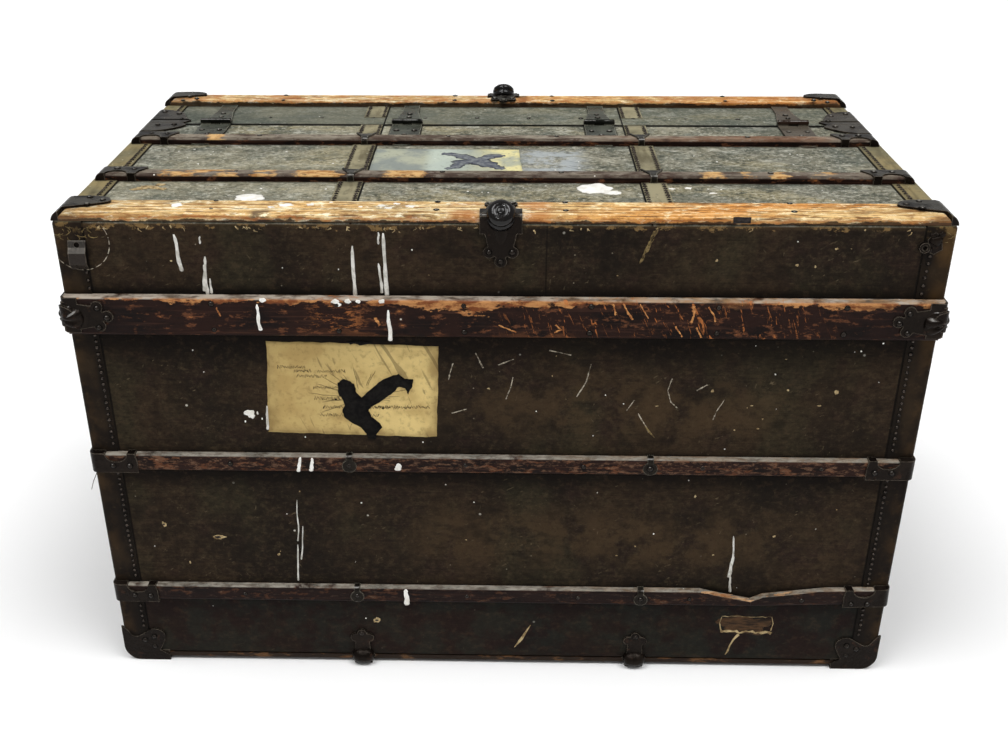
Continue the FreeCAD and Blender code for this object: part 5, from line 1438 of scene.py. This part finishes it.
def torn_canvas():
    """The torn patch low on the bottom, with frayed canvas round it and along the upper edge."""
    bare = plain_finish("Bare board", (86, 62, 40), (38, 28, 20), 70.0, 0.8, (1.0, 4.0, 4.0), relief=0.001)
    shape = Shape(BOTTOM_CANVAS)
    shape.blob((0.330, 0.071), (0.0345, 0.0150), 0.35 * MM, 0.34, 3.0, 60)
    shape.finish("torn_patch", bare)
    shape = Shape(BOTTOM_CANVAS)
    chance = random.Random(5)
    for v, uneven, length, thin, thick, rise in ((0.057, 0.004, 0.068, 1.0, 2.6, 0.9),
                                                 (0.084, 0.002, 0.066, 0.15, 0.7, 0.5)):
        edge = [(0.297 + length * step / 16, v + uneven * chance.random()) for step in range(17)]
        shape.stroke(edge, [chance.uniform(thin, thick) * MM for _ in edge], rise * MM, 8)
    for edge, widths, rise in (
            ([(0.297, 0.084), (0.295, 0.074), (0.297, 0.064), (0.300, 0.058)], [0.3, 0.6, 1.0, 1.2], 0.6),
            ([(0.363, 0.085), (0.366, 0.074), (0.364, 0.062)], [0.3, 0.5, 0.8], 0.6),
            ([(0.322, 0.055), (0.316, 0.046), (0.312, 0.036), (0.310, 0.026), (0.307, 0.020)],
             [2.2, 1.4, 1.0, 1.4, 0.5], 0.8)):
        shape.stroke(edge, [width * MM for width in widths], rise * MM, 8)
    for u, v, size_u, size_v, rise, wobble, seed in ((-0.362, 0.2035, 9.0, 3.4, 0.6, 0.5, 18.0),
                                                     (-0.432, 0.222, 2.6, 4.2, 0.4, 0.6, 28.0),
                                                     (-0.164, 0.071, 4.2, 5.2, 0.5, 0.5, 38.0)):
        shape.blob((u, v), (size_u * MM, size_v * MM), rise * MM, wobble, seed)
    chance = random.Random(47)
    for _ in range(34):
        u = chance.choice((chance.uniform(-0.44, 0.0), chance.uniform(0.0, 0.44), chance.uniform(0.14, 0.40)))
        v = chance.choice((chance.uniform(0.15, 0.285), chance.uniform(0.36, 0.47), chance.uniform(0.56, 0.61)))
        size = chance.uniform(0.5, 1.7) * MM
        if abs(u + 0.18) > 0.11 or v < 0.35 or v > 0.5:
            shape.blob((u, v), (size * chance.uniform(0.5, 1.8), size * chance.uniform(0.5, 1.8)),
                       0.25 * MM, 0.7, chance.uniform(0, 90), 10)
    shape.stroke([(0.022, 0.028), (0.031, 0.042), (0.043, 0.066)], [0.6 * MM, 2.2 * MM, 0.5 * MM], 0.4 * MM, 8)
    curls = ((-0.430, -0.151, 0.014, 0.006), (-0.412, -0.156, 0.008, 0.004), (-0.444, -0.158, 0.007, 0.003),
             (-0.418, -0.140, 0.005, 0.005))
    shape.on(BACK_CANVAS)
    for index, (u, v, size_u, size_v) in enumerate(curls):
        shape.blob((u, v), (size_u, size_v), 0.9 * MM, 0.6, 50.0 + index)
    chance = random.Random(21)
    shape.on(BOTTOM_CANVAS)
    for _ in range(46):
        u = chance.choice((chance.uniform(-0.46, 0.0), chance.uniform(-0.46, 0.46)))
        v = 0.6295 - chance.uniform(0.0, 0.006) * chance.random()
        length = chance.uniform(1.0, 5.0) * MM
        points = [(u, v), (u + chance.uniform(-2, 2) * MM, v - length * 0.5),
                  (u + chance.uniform(-4, 4) * MM, v - length)]
        width = chance.uniform(0.3, 0.9) * MM
        shape.stroke(points, [width, width, width * 0.4], 0.6 * MM)
    frayed = plain_finish("Frayed canvas", (196, 174, 130), (122, 100, 68), 150.0, 0.9, relief=0.001)
    shape.finish("frayed_canvas", frayed)


def chalk_strokes():
    """Faint strokes beside the label, and the arc of a ring at the left corner."""
    shape = Shape()
    strokes = (((-0.056, 0.458), (-0.062, 0.436)), ((-0.030, 0.472), (-0.020, 0.452)),
               ((-0.002, 0.456), (0.016, 0.464)), ((0.016, 0.440), (0.008, 0.410)),
               ((0.058, 0.476), (0.084, 0.470)), ((0.108, 0.458), (0.104, 0.436), (0.092, 0.414)),
               ((0.206, 0.440), (0.201, 0.424), (0.206, 0.408), (0.214, 0.400)),
               ((0.154, 0.396), (0.162, 0.410)), ((0.236, 0.424), (0.248, 0.432)),
               ((0.270, 0.412), (0.262, 0.396), (0.258, 0.384)),
               ((0.168, 0.392), (0.176, 0.378), (0.182, 0.366)), ((-0.058, 0.390), (-0.040, 0.396)))
    for index, points in enumerate(strokes):
        sway = [(u + 1.2 * MM * noise.noise(Vector((u * 60, v * 60, index))), v)
                for u, v in finer(points, 5) + [points[-1]]]
        chance = random.Random(70 + index)
        shape.on(BOTTOM_CANVAS).stroke(sway, [chance.uniform(0.25, 1.0) * MM for _ in sway], 0.12 * MM)
    angles = [math.radians(degrees) for degrees in range(-145, 46, 5)]
    ring = [(-0.480 + 0.034 * math.cos(angle), 0.609 + 0.034 * math.sin(angle)) for angle in angles]
    chance = random.Random(88)
    for start in range(0, len(ring) - 4, 4):
        part = ring[start:start + 4]
        shape.on(over_bottom(0.2 if part[0][0] > -0.470 else 1.1))
        shape.stroke(part, [chance.uniform(0.2, 0.6) * MM for _ in part], 0.25 * MM)
    shape.finish("chalk_strokes", plain_finish("Old chalk", (196, 186, 166), (72, 62, 50), 320.0, 0.95))


def slat_scrapes(chance):
    """Scrapes down to bare wood across the wide slat."""
    shape = Shape(WIDE_SLAT)
    scrapes = (((0.141, 0.5417), (0.146, 0.532), (0.1527, 0.5218), 1.3),
               ((0.160, 0.5417), (0.165, 0.533), (0.171, 0.5238), 0.8),
               ((0.221, 0.5395), (0.2225, 0.530), (0.2205, 0.519), 2.0),
               ((0.2265, 0.5125), (0.2300, 0.5055), (0.2330, 0.5000), 1.3),
               ((0.2385, 0.5384), (0.2450, 0.5290), (0.2480, 0.5200), 0.9),
               ((0.2025, 0.5135), (0.207, 0.507), (0.2115, 0.500), 0.9),
               ((-0.002, 0.5135), (0.009, 0.509), (0.019, 0.505), 0.9),
               ((0.0637, 0.515), (0.0706, 0.5086), (0.0625, 0.505), 1.0),
               ((0.1297, 0.5417), (0.131, 0.535), (0.1326, 0.528), 1.2),
               ((-0.329, 0.534), (-0.327, 0.528), (-0.325, 0.523), 1.0),
               ((-0.145, 0.522), (-0.142, 0.517), (-0.140, 0.512), 1.8))
    for *points, width in scrapes:
        line = [(u + chance.uniform(-0.5, 0.5) * MM, v + chance.uniform(-0.5, 0.5) * MM)
                for u, v in finer(points, 5) + [points[-1]]]
        shape.stroke(line, [width * chance.uniform(0.5, 1.2) * MM for _ in line], 0.25 * MM)
    shape.finish("slat_scrapes", plain_finish("Scraped wood", (206, 146, 88), (132, 76, 40), 180.0, 0.8))


def loose_fibre(chance):
    """Fibre standing off the upper corners, and a frayed run beside the right-hand paint."""
    shape = Shape(BOTTOM_CANVAS)
    for corner, spread, count in (((-0.498, 0.628), 0.046, 22), ((0.494, 0.629), 0.020, 8)):
        for _ in range(count):
            u, v = corner[0] + chance.uniform(-0.003, spread * 0.7), corner[1] - chance.uniform(0.0, 0.014)
            way = chance.uniform(-2.6, -0.2)
            length = chance.uniform(4, 13) * MM
            bend = chance.uniform(-0.5, 0.5)
            points = [(u, v), (u + math.cos(way) * length * 0.5, v + math.sin(way) * length * 0.3),
                      (u + math.cos(way + bend) * length, v + math.sin(way + bend) * length * 0.6)]
            points = [(min(max(a, -0.507), 0.506), min(b, 0.632)) for a, b in points]
            width = chance.uniform(0.25, 0.8) * MM
            shape.stroke(points, [width, width, width * 0.4], 1.6 * MM)
    for _ in range(34):
        share = chance.random()
        u = 0.1755 - 0.016 * share + chance.uniform(-2.6, 2.6) * (1.0 - 0.5 * share) * MM
        v = 0.630 - 0.040 * share
        width = chance.uniform(0.5, 1.5) * MM
        shape.stroke([(u, v), (u - 1.2 * MM, v - 3 * MM), (u - 2.2 * MM, v - 5 * MM)],
                     [width, width * 0.8, width * 0.2], 0.5 * MM)
    shape.stroke([(0.177, 0.375), (0.183, 0.366), (0.190, 0.358)], [0.5 * MM, 1.4 * MM, 0.4 * MM], 0.4 * MM, 8)
    shape.finish("loose_fibre", plain_finish("Loose fibre", (128, 110, 72), (78, 64, 42), 150.0, 0.9))


def slat_splinters():
    """Splinters along the break of the lowest slat, whose edge sags towards the break."""
    shape = Shape(over_bottom(7.5))
    chance = random.Random(9)
    for _ in range(26):
        u = chance.uniform(0.262, 0.372)
        drop = 15.0 * max(0.0, 1.0 - abs(u - 0.328) / (0.066 if u < 0.328 else 0.040))
        v = 0.1305 - drop * MM
        length = chance.uniform(8, 26) * MM
        points = [(u, v), (u + length * 0.5, v + chance.uniform(-0.6, 1.2) * MM),
                  (u + length, v + chance.uniform(-1.5, 2.5) * MM)]
        shape.stroke(points, [0.9 * MM, 0.7 * MM, 0.15 * MM], chance.uniform(0.6, 1.6) * MM)
    shape.finish("slat_splinters", plain_finish("Split wood", (206, 168, 128), (160, 110, 70), 90.0, 0.8))


def stray_wire():
    """One stiff wire that stands out at the left edge."""
    radius = 0.45 * MM
    shape = Shape(over_bottom(2))
    shape.stroke([(-0.504, 0.308), (-0.508, 0.298), (-0.513, 0.288), (-0.517, 0.276)], [radius] * 4, radius)
    metal = plain_finish("Stray wire", (120, 116, 110), (84, 80, 76), 200.0, 0.5, metal=0.6)
    shape.finish("stray_wire", metal)


class TRUNK_OT_add_wear(bpy.types.Operator):
    """Add torn canvas, chalk strokes, scratches, splinters and a stray wire"""
    bl_idname = "trunk.add_wear"
    bl_label = "Add wear"

    def execute(self, context):
        iron_stains()
        torn_canvas()
        chalk_strokes()
        chance = random.Random(14)
        slat_scrapes(chance)
        loose_fibre(chance)
        slat_splinters()
        stray_wire()
        return {"FINISHED"}


# ---- studio -----------------------------------------------------------------------------------
CAMERA_PLACE = (0.0064, -1.5362, 1.0937)
CAMERA_TURN = (-1.475, 27.781, -0.197)   # yaw, pitch and roll in degrees
CAMERA_LENS = 42.534
CAMERA_SHIFT = (0.0257, 0.0089)


def stage_sheet(name, material, build, unseen_by=(), **sizes):
    """A piece of the studio, from a bmesh operator and its sizes, that some kinds of ray pass by."""
    shape = bmesh.new()
    build(shape, **sizes)
    mesh = bpy.data.meshes.new(name)
    shape.to_mesh(mesh)
    shape.free()
    mesh.materials.append(material)
    sheet = bpy.data.objects.new(name, mesh)
    for ray in unseen_by:
        setattr(sheet, "visible_" + ray, False)
    bpy.context.scene.collection.objects.link(sheet)


def lamp(name, kind, place, aim, energy, **settings):
    """A lamp at a place, turned so that it shines from there towards the aim."""
    data = bpy.data.lights.new(name, kind)
    data.energy = energy
    for key, value in settings.items():
        setattr(data, key, value)
    light = bpy.data.objects.new(name, data)
    light.rotation_euler = (Vector(place) - Vector(aim)).to_track_quat("Z", "Y").to_euler()
    bpy.context.scene.collection.objects.link(light)
    return light


class TRUNK_OT_build_stage(bpy.types.Operator):
    """Set up the floor, the backdrop, the lights and the camera"""
    bl_idname = "trunk.build_stage"
    bl_label = "Build stage"

    def execute(self, context):
        settings = context.scene.trunk_stage
        scene = context.scene
        matt, make = new_material("Studio floor")
        diffuse = make.add("ShaderNodeBsdfDiffuse", {"Color": (0.93, 0.93, 0.93, 1.0)})
        make.add("ShaderNodeOutputMaterial", {0: diffuse.outputs[0]})
        stage_sheet("floor", matt, bmesh.ops.create_grid, x_segments=2, y_segments=2, size=14.0)
        glow, make = new_material("White backdrop")
        light = make.add("ShaderNodeEmission", {"Color": (1, 1, 1, 1), "Strength": 1.1})
        make.add("ShaderNodeOutputMaterial", {0: light.outputs[0]})
        upright = Matrix.Translation((0, 13.5, 0)) @ Matrix.Rotation(math.radians(90), 4, "X")
        stage_sheet("backdrop", glow, bmesh.ops.create_grid, ("diffuse", "glossy"), x_segments=1, y_segments=1,
                    size=30.0, matrix=upright)
        stage_sheet("surround", glow, bmesh.ops.create_cone, ("diffuse", "glossy", "shadow"), cap_ends=False,
                    segments=64, radius1=13.6, radius2=13.6, depth=60.0)

        world = bpy.data.worlds.new("Even light")
        scene.world = world
        world.use_nodes = True
        world.node_tree.nodes["Background"].inputs[0].default_value = (1, 1, 1, 1)
        world.node_tree.nodes["Background"].inputs[1].default_value = settings.sky
        for side in (-1, 1):
            lamp("overhead_light", "SUN", (side * 0.34, -0.17, 0.92), (0, 0, 0), settings.key_strength,
                 angle=math.radians(28))
        accent_place = (-0.7, -2.1, 2.3)
        accent = lamp("accent_light", "AREA", accent_place, (0, 0, 0.4), settings.accent_power, size=0.2)
        accent.location = accent_place
        accent.visible_diffuse = False

        yaw, pitch, roll = (math.radians(degrees) for degrees in CAMERA_TURN)
        forward = Vector((math.sin(yaw) * math.cos(pitch), math.cos(yaw) * math.cos(pitch), -math.sin(pitch)))
        right = Vector((math.cos(yaw), -math.sin(yaw), 0.0))
        up = right.cross(forward)
        turned_right = right * math.cos(roll) + up * math.sin(roll)
        turned_up = up * math.cos(roll) - right * math.sin(roll)
        data = bpy.data.cameras.new("camera")
        data.sensor_width = 36.0
        data.lens = CAMERA_LENS
        data.shift_x, data.shift_y = CAMERA_SHIFT
        data.clip_end = 100.0
        camera = bpy.data.objects.new("camera", data)
        turn = Matrix((turned_right, turned_up, -forward)).transposed().to_4x4()
        camera.matrix_world = Matrix.Translation(CAMERA_PLACE) @ turn
        scene.collection.objects.link(camera)
        scene.camera = camera
        scene.view_settings.view_transform = "Standard"
        scene.view_settings.look = "None"
        return {"FINISHED"}


class TRUNK_PT_sidebar(bpy.types.Panel):
    """Lists the trunk's finishes and pieces"""
    bl_idname = "TRUNK_PT_sidebar"
    bl_label = "Trunk"
    bl_space_type = "VIEW_3D"
    bl_region_type = "UI"
    bl_category = "Trunk"

    def draw(self, context):
        for operator in OPERATORS:
            self.layout.operator(operator.bl_idname)
        for group in (context.scene.trunk_colours, context.scene.trunk_sizes, context.scene.trunk_stage):
            box = self.layout.box()
            for name in group.__annotations__:
                box.prop(group, name)


OPERATORS = (TRUNK_OT_finish_coverings, TRUNK_OT_finish_slats, TRUNK_OT_finish_hardware, TRUNK_OT_add_nails,
             TRUNK_OT_add_rivets, TRUNK_OT_add_labels, TRUNK_OT_add_paint_marks, TRUNK_OT_add_wear,
             TRUNK_OT_build_stage)
GROUPS = (TrunkColours, TrunkSizes, StageSettings)


def register():
    for item in GROUPS + OPERATORS + (TRUNK_PT_sidebar,):
        bpy.utils.register_class(item)
    bpy.types.Scene.trunk_colours = bpy.props.PointerProperty(type=TrunkColours)
    bpy.types.Scene.trunk_sizes = bpy.props.PointerProperty(type=TrunkSizes)
    bpy.types.Scene.trunk_stage = bpy.props.PointerProperty(type=StageSettings)


def unregister():
    del bpy.types.Scene.trunk_stage
    del bpy.types.Scene.trunk_sizes
    del bpy.types.Scene.trunk_colours
    for item in reversed(GROUPS + OPERATORS + (TRUNK_PT_sidebar,)):
        bpy.utils.unregister_class(item)


def main():
    register()
    for operator in OPERATORS:
        group, name = operator.bl_idname.split(".")
        getattr(getattr(bpy.ops, group), name)()


if __name__ == "__main__":
    main()
